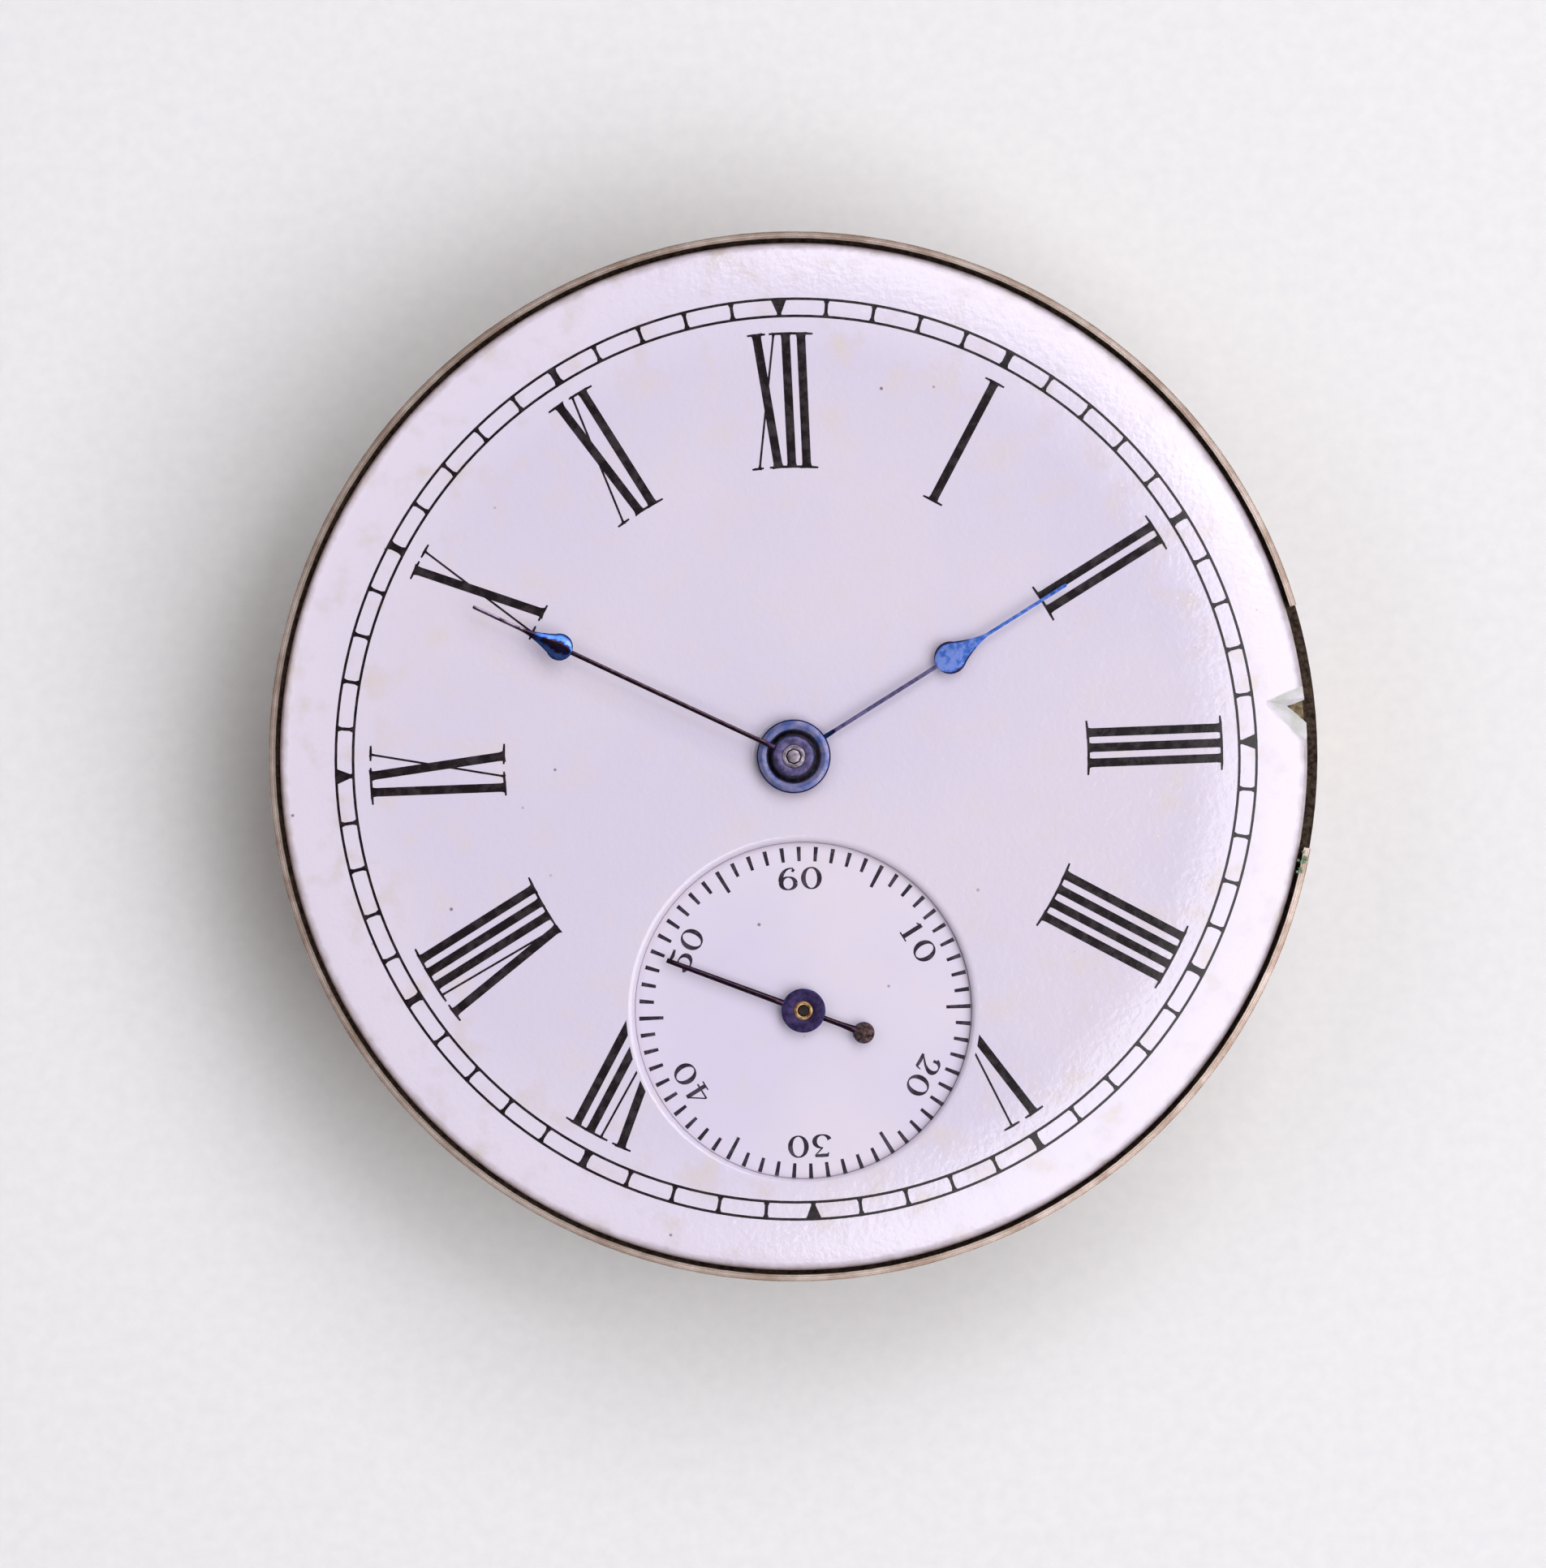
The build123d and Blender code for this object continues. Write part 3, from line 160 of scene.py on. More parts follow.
def pick(piece: Piece, part: Part, test: Test) -> None:
    """Selects parts of the piece in edit mode by their place and normal.

    Args:
        piece: The piece in edit mode.
        part: Whether points, edges or faces are picked.
        test: Takes the middle in mm and the normal, and says whether to pick.
    """
    bpy.ops.mesh.select_all(action="DESELECT")
    bpy.ops.mesh.select_mode(type=part.name)
    mesh = bmesh.from_edit_mesh(piece.data)
    for item in getattr(mesh, part.value):
        if part is Part.VERT:
            middle, normal = item.co, item.normal
        elif part is Part.EDGE:
            middle, normal = (item.verts[0].co + item.verts[1].co) / 2, Vector()
        else:
            middle, normal = item.calc_center_median(), item.normal
        item.select_set(test(middle / MM, normal))
    mesh.select_flush_mode()
    bmesh.update_edit_mesh(piece.data)


def finish_with(piece: Piece, kind: str, **settings: object) -> None:
    """Adds a modifier with its settings and applies it.

    Args:
        piece: The piece to change.
        kind: The modifier's type.
        **settings: Values for the modifier.
    """
    select_only(piece)
    modifier = piece.modifiers.new(kind.title(), kind)
    for name, value in settings.items():
        setattr(modifier, name, value)
    bpy.ops.object.modifier_apply(modifier=modifier.name)


def close_up(piece: Piece) -> None:
    """Merges doubled points and turns all faces outwards.

    Args:
        piece: The piece.
    """
    with editing(piece):
        bpy.ops.mesh.remove_doubles(threshold=MERGE)
        bpy.ops.mesh.normals_make_consistent(inside=False)


def smooth(piece: Piece, angle: float = 35.0) -> None:
    """Shades a piece smooth where its faces meet under an angle in degrees."""
    select_only(piece)
    bpy.ops.object.shade_smooth_by_angle(angle=math.radians(angle))


def ease_edges(piece: Piece, width: float, angle: float, segments: int) -> None:
    """Eases the edges of a piece that are sharper than an angle.

    Args:
        piece: The piece.
        width: How wide they become, in mm.
        angle: The angle, in degrees.
        segments: Divisions of each eased edge.
    """
    limit = math.radians(angle)
    finish_with(piece, "BEVEL", width=width * MM, segments=segments, limit_method="ANGLE", angle_limit=limit)


def even_normals(piece: Piece) -> None:
    """Lets the large faces set the shading, so that flats stay flat."""
    smooth(piece)
    finish_with(piece, "WEIGHTED_NORMAL", keep_sharp=True, weight=90)


def settle(piece: Piece, place: Sequence[float] = (0, 0, 0), turn_by: Sequence[float] = (0, 0, 0)) -> Piece:
    """Turns and moves a piece, and puts that into its mesh.

    Args:
        piece: The piece, modelled at the origin.
        place: Where it goes, in mm.
        turn_by: Its turn about X, Y and Z, in degrees.

    Returns:
        The same piece.
    """
    piece.rotation_euler = [math.radians(angle) for angle in turn_by]
    piece.location = [length * MM for length in place]
    select_only(piece)
    bpy.ops.object.transform_apply(location=True, rotation=True, scale=True)
    return piece


def twin(piece: Piece, name: str) -> Piece:
    """Copies a piece.

    Args:
        piece: The piece.
        name: The copy's name.

    Returns:
        The copy, with a mesh of its own.
    """
    copied = bpy.data.objects.new(name, piece.data.copy())
    bpy.context.scene.collection.objects.link(copied)
    return copied


def joined(name: str, parts: Sequence[Piece]) -> Piece:
    """Joins parts into one piece.

    Args:
        name: Its name.
        parts: The parts, which are used up.

    Returns:
        The piece.
    """
    bpy.ops.object.select_all(action="DESELECT")
    for part in parts:
        part.select_set(True)
    bpy.context.view_layer.objects.active = parts[0]
    bpy.ops.object.join()
    whole = bpy.context.object
    whole.name = name
    whole.data.name = name
    return whole


def cut(piece: Piece, cutter: Piece) -> None:
    """Cuts a piece with another one, which is used up."""
    finish_with(piece, "BOOLEAN", operation="DIFFERENCE", object=cutter, solver="EXACT")
    bpy.data.objects.remove(cutter)


def turn(name: str, centre: Point, profile: Sequence[Point], corner: float = 0.0, steps: int = 96) -> Piece:
    """Turns a closed profile about a vertical axis, as on a lathe.

    Args:
        name: The piece's name.
        centre: The axis, in mm.
        profile: Closed outline of (radius, height) points in mm.
        corner: How far every corner off the axis is rounded, in mm.
        steps: Divisions round the axis.

    Returns:
        The turned piece.
    """
    bpy.ops.object.select_all(action="DESELECT")
    bpy.ops.mesh.primitive_circle_add(vertices=len(profile), radius=MM)
    piece = bpy.context.object
    piece.name = name
    for vertex, (radius, height) in zip(piece.data.vertices, profile):
        vertex.co = (radius * MM, 0.0, height * MM)
    with editing(piece):
        if corner:
            pick(piece, Part.VERT, lambda place, normal: place.x > ON_AXIS)
            bpy.ops.mesh.bevel(offset=corner * MM, segments=2, affect="VERTICES")
            bpy.ops.mesh.select_all(action="SELECT")
        bpy.ops.mesh.spin(steps=steps, angle=math.tau, center=(0, 0, 0), axis=(0, 0, 1))
    close_up(piece)
    smooth(piece)
    return settle(piece, (*centre, 0))


def refined(node: str, bevel: float) -> Piece:
    """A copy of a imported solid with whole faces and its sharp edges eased.

    Args:
        node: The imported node.
        bevel: Width of the eased edges, in mm.

    Returns:
        The copy, which replaces the node.
    """
    piece = twin(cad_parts[node], f"{node}_finished")
    piece.data.materials.clear()
    with editing(piece):
        bpy.ops.mesh.remove_doubles(threshold=MERGE)
        bpy.ops.mesh.dissolve_limited(angle_limit=math.radians(1))
    ease_edges(piece, bevel, 32, segments=2)
    even_normals(piece)
    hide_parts(node)
    return piece


def repeat(piece: Piece, copies: int, step: float, centre: Point) -> None:
    """Copies all of a flat piece round a centre.

    Args:
        piece: The piece.
        copies: How many there are in the end, with the first.
        step: Degrees from one to the next.
        centre: The centre in mm.
    """
    middle = (centre[0] * MM, centre[1] * MM, 0)
    sweep = math.radians(step * (copies - 1))
    with editing(piece):
        bpy.ops.mesh.spin(steps=copies - 1, angle=-sweep, center=middle, axis=(0, 0, 1), dupli=True)


def strip(name: str, left: Sequence[Station], right: Sequence[Station], rows: int = 1) -> Piece:
    """A band of faces between two lines with as many points each.

    Args:
        name: The piece's name.
        left: Points of one side, in mm.
        right: Points of the other side, in mm.
        rows: Faces across the band.

    Returns:
        The flat or bent band, faces up.
    """
    bpy.ops.object.select_all(action="DESELECT")
    bpy.ops.mesh.primitive_grid_add(x_subdivisions=len(left) - 1, y_subdivisions=rows, size=2)
    piece = bpy.context.object
    piece.name = name
    for vertex in piece.data.vertices:
        station = round((vertex.co.x + 1) / 2 * (len(left) - 1))
        share = (1 - vertex.co.y) / 2
        start, end = Vector(left[station]), Vector(right[station])
        vertex.co = start.lerp(end, share) * MM
    return piece


# Finishes


def linear(colour: str) -> tuple[float, float, float, float]:
    """Turns an sRGB hex colour into the linear colour that the shaders take.

    Args:
        colour: Six hex digits after a hash sign.

    Returns:
        Red, green, blue and an alpha of one.
    """
    channels = [int(colour[i : i + 2], 16) / 255 for i in (1, 3, 5)]
    return (*(c / 12.92 if c <= 0.04045 else ((c + 0.055) / 1.055) ** 2.4 for c in channels), 1.0)


def add_node(
    tree: Tree, kind: str, inputs: Inputs = (), output: str | int = 0, **settings: object
) -> Socket | None:
    """Adds a node with its settings and links.

    Args:
        tree: The node tree.
        kind: The node's type, after the words that all shader nodes start with.
        inputs: Other nodes' sockets, numbers or sRGB hex colours, by input or in the inputs' order.
        output: Which of its outputs is wanted.
        **settings: The node's own settings.

    Returns:
        That output, or nothing from a node that has none.
    """
    node = tree.nodes.new(f"ShaderNode{kind}")
    for name, value in settings.items():
        setattr(node, name, value)
    for name, value in inputs.items() if isinstance(inputs, dict) else enumerate(inputs):
        if isinstance(value, Socket):
            tree.links.new(value, node.inputs[name])
        else:
            node.inputs[name].default_value = linear(value) if isinstance(value, str) else value
    return node.outputs[output] if node.outputs else None


# Where a Mix node of colours keeps its factor, its colours A and B, and its result
FACTOR, A, B, RESULT = 0, 6, 7, 2
RGBA = {"data_type": "RGBA"}


def about(place: Socket, centre: Point) -> Inputs:
    """What a mapping takes to measure from an upright axis at a centre in mm, whatever the height."""
    offset = (-centre[0] * MM, -centre[1] * MM, 0.0)
    return {"Vector": place, "Location": offset, "Scale": (1.0, 1.0, 0.0)}


@dataclass(frozen=True)
class Finish:
    """A surface: its name, and what its shader reads."""

    name: str

    def material(self) -> bpy.types.Material:
        """Builds the material the first time, and gives the same one after.

        Returns:
            The material.
        """
        found = bpy.data.materials.get(self.name)
        if found:
            return found
        made = bpy.data.materials.new(self.name)
        made.use_nodes = True
        tree = made.node_tree
        tree.nodes.clear()
        place = add_node(tree, "TexCoord", output="Object")
        shader = add_node(tree, "BsdfPrincipled", self.surface(tree, place))
        add_node(tree, "OutputMaterial", {"Surface": shader})
        return made

    def surface(self, tree: Tree, place: Socket) -> Inputs:
        """What the shader reads; each kind of finish has its own.

        Args:
            tree: The node tree.
            place: Object coordinates, in metres.

        Returns:
            Sockets and constants for the shader's inputs.
        """
        return {}

    def lumps(
        self,
        tree: Tree,
        place: Socket,
        size: float,
        detail: float,
        source: Point = (0.0, 1.0),
        target: Point = (0.0, 1.0),
    ) -> Socket:
        """A value that drifts over the surface in soft lumps.

        Args:
            tree: The node tree.
            place: Coordinates in metres.
            size: How far apart the lumps are, in mm.
            detail: How many finer layers they carry.
            source: The low and the high of the noise that count.
            target: What the value is there, and beyond.

        Returns:
            The value.
        """
        shape = {"Vector": place, "Scale": 1.0 / (size * MM), "Detail": detail, "Roughness": 0.55}
        return add_node(tree, "MapRange", (add_node(tree, "TexNoise", shape), *source, *target))


class Grain(Enum):
    """How a metal's surface was worked."""

    POLISHED = "buffed bright"
    FROSTED = "stippled by fine grit"
    STRAIGHT = "drawn along one way"
    TURNED = "ringed round its centre"
    STRIPED = "damaskeened in arcs"


@dataclass(frozen=True)
class Metal(Finish):
    """A bare or plated metal.

    Its two tones drift in patches, and its grain shows in gloss and relief. Real polish and turning marks are
    a hundredth of a millimetre apart; they are drawn grain_size mm apart, as coarse as needed to show.
    Straight grain is squeezed by drawn_out along its run, and a wave texture of ring_scale has its rings
    one metre apart.
    """

    colour: str = "#C8C4BE"
    shade: str = "#A8A49E"
    roughness: float = 0.25
    grain: Grain = Grain.POLISHED
    grain_size: float = 0.08
    grain_depth: float = 0.001
    centre: Point = CENTRE
    patch: float = 1.5
    drawn_out: float = 0.06
    ring_scale: float = 0.314

    def surface(self, tree: Tree, place: Socket) -> Inputs:
        """Colours by patches, and adds the grain to gloss and relief.

        Args:
            tree: The node tree.
            place: Object coordinates, in metres.

        Returns:
            Sockets and constants for the shader's inputs.
        """
        patches = self.lumps(tree, place, self.patch, 3.0, (0.35, 0.65))
        colour = add_node(tree, "Mix", {FACTOR: patches, A: self.colour, B: self.shade}, RESULT, **RGBA)
        grain = self.grain_height(tree, place)
        if self.grain is Grain.STRIPED:
            stripes = add_node(tree, "MapRange", (grain, 0.2, 0.8, 0.0, 0.7))
            colour = add_node(tree, "Mix", {FACTOR: stripes, A: colour, B: self.shade}, RESULT, **RGBA)
        gloss = add_node(tree, "MapRange", (grain, 0.3, 0.7, self.roughness * 0.8, self.roughness * 1.3))
        relief = add_node(tree, "Bump", {"Height": grain, "Strength": 1.0, "Distance": self.grain_depth * MM})
        return {"Metallic": 1.0, "Base Color": colour, "Roughness": gloss, "Normal": relief}

    def grain_height(self, tree: Tree, place: Socket) -> Socket:
        """The grain as a height from 0 to 1.

        Args:
            tree: The node tree.
            place: Object coordinates, in metres.

        Returns:
            The height.
        """
        if self.grain in (Grain.POLISHED, Grain.FROSTED):
            return self.lumps(tree, place, self.grain_size, 4.0)
        if self.grain is Grain.STRAIGHT:
            along = add_node(tree, "Mapping", {"Vector": place, "Scale": (1.0, self.drawn_out, 1.0)})
            return self.lumps(tree, along, self.grain_size, 3.0)
        flat = add_node(tree, "Mapping", about(place, self.centre))
        if self.grain is Grain.TURNED:
            radius = add_node(tree, "VectorMath", (flat,), "Value", operation="LENGTH")
            rings = {"W": radius, "Scale": 1.0 / (self.grain_size * MM), "Detail": 3.0}
            return add_node(tree, "TexNoise", rings, noise_dimensions="1D")
        arcs = {"Vector": flat, "Scale": self.ring_scale / (self.grain_size * MM)}
        form = {"wave_type": "RINGS", "rings_direction": "Z", "wave_profile": "SAW"}
        return add_node(tree, "TexWave", arcs, "Fac", **form)


@dataclass(frozen=True)
class FiredEnamel(Finish):
    """White glass fused on copper: a glossy skin with orange-peel ripples, stains and a dirty edge.

    Over the dome it lays the pale tone as a painted sheen, a painted highlight on the outer ring. Lengths are
    radii about its centre and sizes in mm; stain, the painted sheen and grime say how strongly each shows.
    """

    colour: str = "#D5CBE1"
    tint: str = "#D8CEE0"
    warm: str = "#D9CBC2"
    pale: str = "#E6DCEE"
    speck: str = "#4A3C40"
    dirt: str = "#6E5B47"
    stain: float = 0.7
    stained: Point = (9.0, 16.5)
    painted_sheen: float = 0.75
    painted_sheen_span: Point = (13.1, 16.1)
    grime: float = 0.75
    grimy: Point = (16.72, 17.05)
    ragged: float = 0.3
    speck_apart: float = 1.1
    tint_size: float = 7.0
    blot_size: float = 1.3
    ripple_size: float = 0.22
    ripple: float = 0.012
    gloss_size: float = 0.8
    gloss: Point = (0.1, 0.2)
    centre: Point = CENTRE

    def surface(self, tree: Tree, place: Socket) -> Inputs:
        """Tints, stains, specks and edge dirt over a rippled gloss.

        Args:
            tree: The node tree.
            place: Object coordinates, in metres.

        Returns:
            Sockets and constants for the shader's inputs.
        """
        flat = add_node(tree, "Mapping", about(place, self.centre))
        radius = add_node(tree, "VectorMath", (flat,), "Value", operation="LENGTH")
        tints = self.lumps(tree, place, self.tint_size, 1.0, (0.4, 0.62))
        blots = self.lumps(tree, place, self.blot_size, 5.0, (0.52, 0.72))
        spread = (self.stained[0] * MM, self.stained[1] * MM, 0.35 * self.stain, self.stain)
        rimward = add_node(tree, "MapRange", (radius, *spread))
        stains = add_node(tree, "Math", (blots, rimward), operation="MULTIPLY")
        # Painted highlight: the dome's outer ring is mixed towards the pale tone as a painted sheen, and the
        # stains still show through it
        dome = add_node(tree, "MapRange", (radius, self.painted_sheen_span[0] * MM, self.painted_sheen_span[1] * MM, 0.0, self.painted_sheen))
        painted_sheen_share = add_node(tree, "Math", (dome, stains), operation="SUBTRACT")
        layers = (
            (tints, self.tint),
            (stains, self.warm),
            (painted_sheen_share, self.pale),
            (self.specks(tree, place), self.speck),
            (self.edge_dirt(tree, place, radius), self.dirt),
        )
        colour: Socket | str = self.colour
        for share, tone in layers:
            colour = add_node(tree, "Mix", {FACTOR: share, A: colour, B: tone}, RESULT, **RGBA)
        gloss = self.lumps(tree, place, self.gloss_size, 3.0, (0.3, 0.7), self.gloss)
        ripples = self.lumps(tree, place, self.ripple_size, 2.0)
        relief = add_node(tree, "Bump", {"Height": ripples, "Strength": 1.0, "Distance": self.ripple * MM})
        return {"Base Color": colour, "IOR": 1.56, "Roughness": gloss, "Normal": relief}

    def specks(self, tree: Tree, place: Socket) -> Socket:
        """Pinholes in some of the cells that lie speck_apart mm apart.

        Args:
            tree: The node tree.
            place: Object coordinates, in metres.

        Returns:
            How much of a pinhole shows.
        """
        cells = add_node(tree, "TexVoronoi", {"Vector": place, "Scale": 1.0 / (self.speck_apart * MM)})
        dots = add_node(tree, "MapRange", (cells, 0.035, 0.065, 1.0, 0.0))
        chosen = add_node(tree, "MapRange", (cells.node.outputs["Color"], 0.62, 0.7, 0.0, 0.75))
        return add_node(tree, "Math", (dots, chosen), operation="MULTIPLY")

    def edge_dirt(self, tree: Tree, place: Socket, radius: Socket) -> Socket:
        """Grime along the edge, whose border wanders by ragged mm.

        Args:
            tree: The node tree.
            place: Object coordinates, in metres.
            radius: The distance from the axis, in metres.

        Returns:
            How much of it shows.
        """
        wander = self.lumps(tree, place, 0.5, 4.0)
        border = add_node(tree, "Math", (wander, self.ragged * MM, radius), operation="MULTIPLY_ADD")
        start, end = ((edge + self.ragged / 2) * MM for edge in self.grimy)
        return add_node(tree, "MapRange", (border, start, end, 0.0, self.grime))


@dataclass(frozen=True)
class FiredInk(Finish):
    """Black ceramic ink fired into the enamel: thin, slightly glossy, a little uneven."""

    colour: str = "#150C12"
    shade: str = "#2A1D26"

    def surface(self, tree: Tree, place: Socket) -> Inputs:
        """Lets the ink run thin in small patches.

        Args:
            tree: The node tree.
            place: Object coordinates, in metres.

        Returns:
            Sockets and constants for the shader's inputs.
        """
        thin = self.lumps(tree, place, 0.35, 4.0, (0.45, 0.7))
        colour = add_node(tree, "Mix", {FACTOR: thin, A: self.colour, B: self.shade}, RESULT, **RGBA)
        gloss = add_node(tree, "MapRange", (thin, 0.0, 1.0, 0.22, 0.4))
        grit = self.lumps(tree, place, 0.15, 2.0)
        relief = add_node(tree, "Bump", {"Height": grit, "Strength": 1.0, "Distance": 0.004 * MM})
        return {"Base Color": colour, "IOR": 1.4, "Roughness": gloss, "Normal": relief}


@dataclass(frozen=True)
class BluedSteel(Finish):
    """Polished steel heated to blue: dark where it mirrors the dark, vivid where it catches a lamp.

    The piece's own attribute, its temper with painted shade, runs from 0, worn to brown, to 1, a full bright
    blue; on the hand blades a broad part's rim and middle are lowered in it as painted shade.
    """

    roughness: float = 0.2
    mottle: float = 0.12
    tones: tuple[tuple[float, str], ...] = (
        (0.0, "#85748C"),
        (0.12, "#4A3A44"),
        (0.3, "#33222C"),
        (0.5, "#2E2858"),
        (0.75, "#3560B0"),
        (0.9, "#4E6CBC"),
        (1.0, "#7086CA"),
    )

    def surface(self, tree: Tree, place: Socket) -> Inputs:
        """Follows the temper from brown to blue, with worn patches.

        Args:
            tree: The node tree.
            place: Object coordinates, in metres.

        Returns:
            Sockets and constants for the shader's inputs.
        """
        temper = add_node(tree, "Attribute", output="Fac", attribute_name="temper")
        worn = self.lumps(tree, place, 0.2, 4.0, (0.35, 0.7), (self.mottle, -self.mottle))
        heat = add_node(tree, "Math", (temper, worn), operation="ADD")
        colour = add_node(tree, "ValToRGB", (heat,))
        stops = colour.node.color_ramp.elements
        while len(stops) < len(self.tones):
            stops.new(1.0)
        for stop, (position, tone) in zip(stops, self.tones):
            stop.position = position
            stop.color = linear(tone)
        gloss = self.lumps(tree, place, 0.12, 3.0, (0.3, 0.7), (self.roughness * 0.8, self.roughness * 1.3))
        scratches = self.lumps(tree, place, 0.09, 3.0)
        relief = add_node(tree, "Bump", {"Height": scratches, "Strength": 1.0, "Distance": 0.0008 * MM})
        return {"Metallic": 1.0, "Base Color": colour, "Roughness": gloss, "Normal": relief}


@dataclass(frozen=True)
class Garnet(Finish):
    """A polished red stone: clear, deep red, a little cloudy."""

    colour: str = "#B3122E"
    cloud: str = "#7A0A1E"

    def surface(self, tree: Tree, place: Socket) -> Inputs:
        """Clouds the red and lets light in.

        Args:
            tree: The node tree.
            place: Object coordinates, in metres.

        Returns:
            Sockets and constants for the shader's inputs.
        """
        cloudy = self.lumps(tree, place, 0.3, 3.0, (0.4, 0.7))
        colour = add_node(tree, "Mix", {FACTOR: cloudy, A: self.colour, B: self.cloud}, RESULT, **RGBA)
        return {"Base Color": colour, "IOR": 1.77, "Roughness": 0.05, "Transmission Weight": 0.55}


@dataclass(frozen=True)
class Crust(Finish):
    """Dull matter such as grime, verdigris or broken glass; size and depth are its lumps', in mm."""

    colour: str = "#2A1F1A"
    shade: str = "#120C0A"
    size: float = 0.15
    depth: float = 0.02

    def surface(self, tree: Tree, place: Socket) -> Inputs:
        """Mottles a rough crust.

        Args:
            tree: The node tree.
            place: Object coordinates, in metres.

        Returns:
            Sockets and constants for the shader's inputs.
        """
        lumps = self.lumps(tree, place, self.size, 4.0)
        mottle = add_node(tree, "MapRange", (lumps, 0.35, 0.65, 0.0, 1.0))
        colour = add_node(tree, "Mix", {FACTOR: mottle, A: self.colour, B: self.shade}, RESULT, **RGBA)
        gloss = add_node(tree, "MapRange", (lumps, 0.3, 0.7, 0.7, 0.95))
        relief = add_node(tree, "Bump", {"Height": lumps, "Strength": 1.0, "Distance": self.depth * MM})
        return {"Base Color": colour, "Roughness": gloss, "Normal": relief}


@dataclass(frozen=True)
class Paper(Finish):
    """Pale matt paper under the movement."""

    colour: str = "#E9E7EA"
    fibre: str = "#E4E2E6"

    def surface(self, tree: Tree, place: Socket) -> Inputs:
        """Adds faint fibres of about half a millimetre.

        Args:
            tree: The node tree.
            place: Object coordinates, in metres.

        Returns:
            Sockets and constants for the shader's inputs.
        """
        fibres = self.lumps(tree, place, 0.5, 3.0, (0.3, 0.7))
        colour = add_node(tree, "Mix", {FACTOR: fibres, A: self.colour, B: self.fibre}, RESULT, **RGBA)
        return {"Base Color": colour, "Roughness": 0.9}


# Enamel fired glossy: a lilac white, faintly rippled, with beige stains, a brown, ragged edge, and a painted
# sheen that pales the dome's outer ring
ENAMEL = FiredEnamel("fired_white_enamel")
# Enamel where it broke off: a matt, grainy, greyer white
RAW_ENAMEL = Crust("broken_enamel", colour="#D9D3DE", shade="#BDBDBA", size=0.7, depth=0.006)
# The seconds bit's enamel, stoned flat: even and less glossy than the dial's, greying towards its edge from
# 5.3 to 5.7 mm out
BIT_ENAMEL = FiredEnamel(
    "fired_white_enamel_seconds",
    colour="#D2C8E0",
    dirt="#C5B9C4",
    grimy=(5.3, 5.7),
    stain=0.5,
    ripple=0.003,
    gloss=(0.3, 0.4),
    centre=FOURTH,
)
# Ceramic ink fired thick: nearly black, with browner places where it ran thin
INK = FiredInk("fired_black_ink")
# The same ink laid thin: a grey violet, on the seconds' fine ticks
THIN_INK = FiredInk("thinly_fired_black_ink", colour="#2A2230", shade="#42384A")
# Steel polished and heated to blue: it turns from near black to vivid blue with the light
BLUE = BluedSteel("heat_blued_steel")
# The same on the hour hand's drop, worn matt: an even, lighter blue from every side
BLUE_FLAT = BluedSteel("heat_blued_steel_matt", roughness=0.5, mottle=0.22)
# Blued steel rubbed by handling: slate grey with blue left in patches
SLATE = Metal(
    "worn_blued_steel", colour="#807C9C", shade="#445692", roughness=0.45, grain_size=0.06, patch=0.35
)
# Blued steel under a film of oil: a dull grey violet
DULL_SLATE = Metal(
    "oiled_blued_steel", colour="#6A628A", shade="#443E60", roughness=0.5, grain_size=0.06, patch=0.2
)
# Steel blued dark and oiled: a deep navy disc
NAVY = Metal(
    "oiled_navy_steel", colour="#40365C", shade="#2A2040", roughness=0.5, grain_size=0.06, patch=0.2
)
# Steel whose blue has rusted away: brown with dark pits
BROWNED = Metal(
    "browned_steel", colour="#5C4A48", shade="#241A22", roughness=0.5, grain_size=0.06, patch=0.12
)
# Turned steel ends, old and oily: grey with dark smears
OLD_STEEL = Metal(
    "oiled_steel_tip", colour="#A89CAC", shade="#4C424E", roughness=0.45, grain_size=0.05, patch=0.25
)
# The plate's seat beside the dial: tarnish with painted shade, a dark brown that darkens the gap round the
# dial and the bare ledge where the lip ends
SHADED_SEAT = Metal(
    "tarnished_plate_seat", colour="#463A32", shade="#221B18", roughness=0.5, grain_size=0.1, patch=0.15
)
# Brass plated with nickel and turned, the plating worn: a warm pinkish grey with fine rings
LIP_METAL = Metal(
    "worn_nickel_plated_brass",
    colour="#E6D2CA",
    shade="#BFA598",
    roughness=0.26,
    grain=Grain.TURNED,
    grain_size=0.05,
    grain_depth=0.002,
    patch=0.9,
)
# Brass frosted with grit and gilt: a soft, even gold without mirror lights
GILT = Metal(
    "frosted_gilt_brass",
    colour="#D9B873",
    shade="#C49F58",
    roughness=0.42,
    grain=Grain.FROSTED,
    grain_size=0.1,
    grain_depth=0.006,
    patch=2.5,
)
# Nickel plate damaskeened in arcs 1.6 mm apart: bands that shift from bright to grey
NICKEL = Metal(
    "damaskeened_nickel",
    colour="#D6D3CE",
    shade="#A9A5A0",
    roughness=0.28,
    grain=Grain.STRIPED,
    grain_size=1.6,
    grain_depth=0.002,
    centre=(-30.0, 22.0),
    patch=4.0,
)
# Steel hardened, tempered and polished: a cold, nearly mirror grey
STEEL = Metal(
    "polished_tempered_steel",
    colour="#CFCFD2",
    shade="#A3A4AA",
    roughness=0.16,
    grain_size=0.07,
    grain_depth=0.0004,
)
# Steel ground in rings round its screw: a bright fan of light across the wheel
SUNRAY = Metal(
    "ring_ground_steel",
    colour="#C9CACE",
    shade="#A6A7AD",
    roughness=0.24,
    grain=Grain.TURNED,
    grain_size=0.07,
    grain_depth=0.0015,
    centre=BARREL,
)
SUNRAY_CROWN = replace(SUNRAY, name="ring_ground_steel_crown", centre=CROWN)
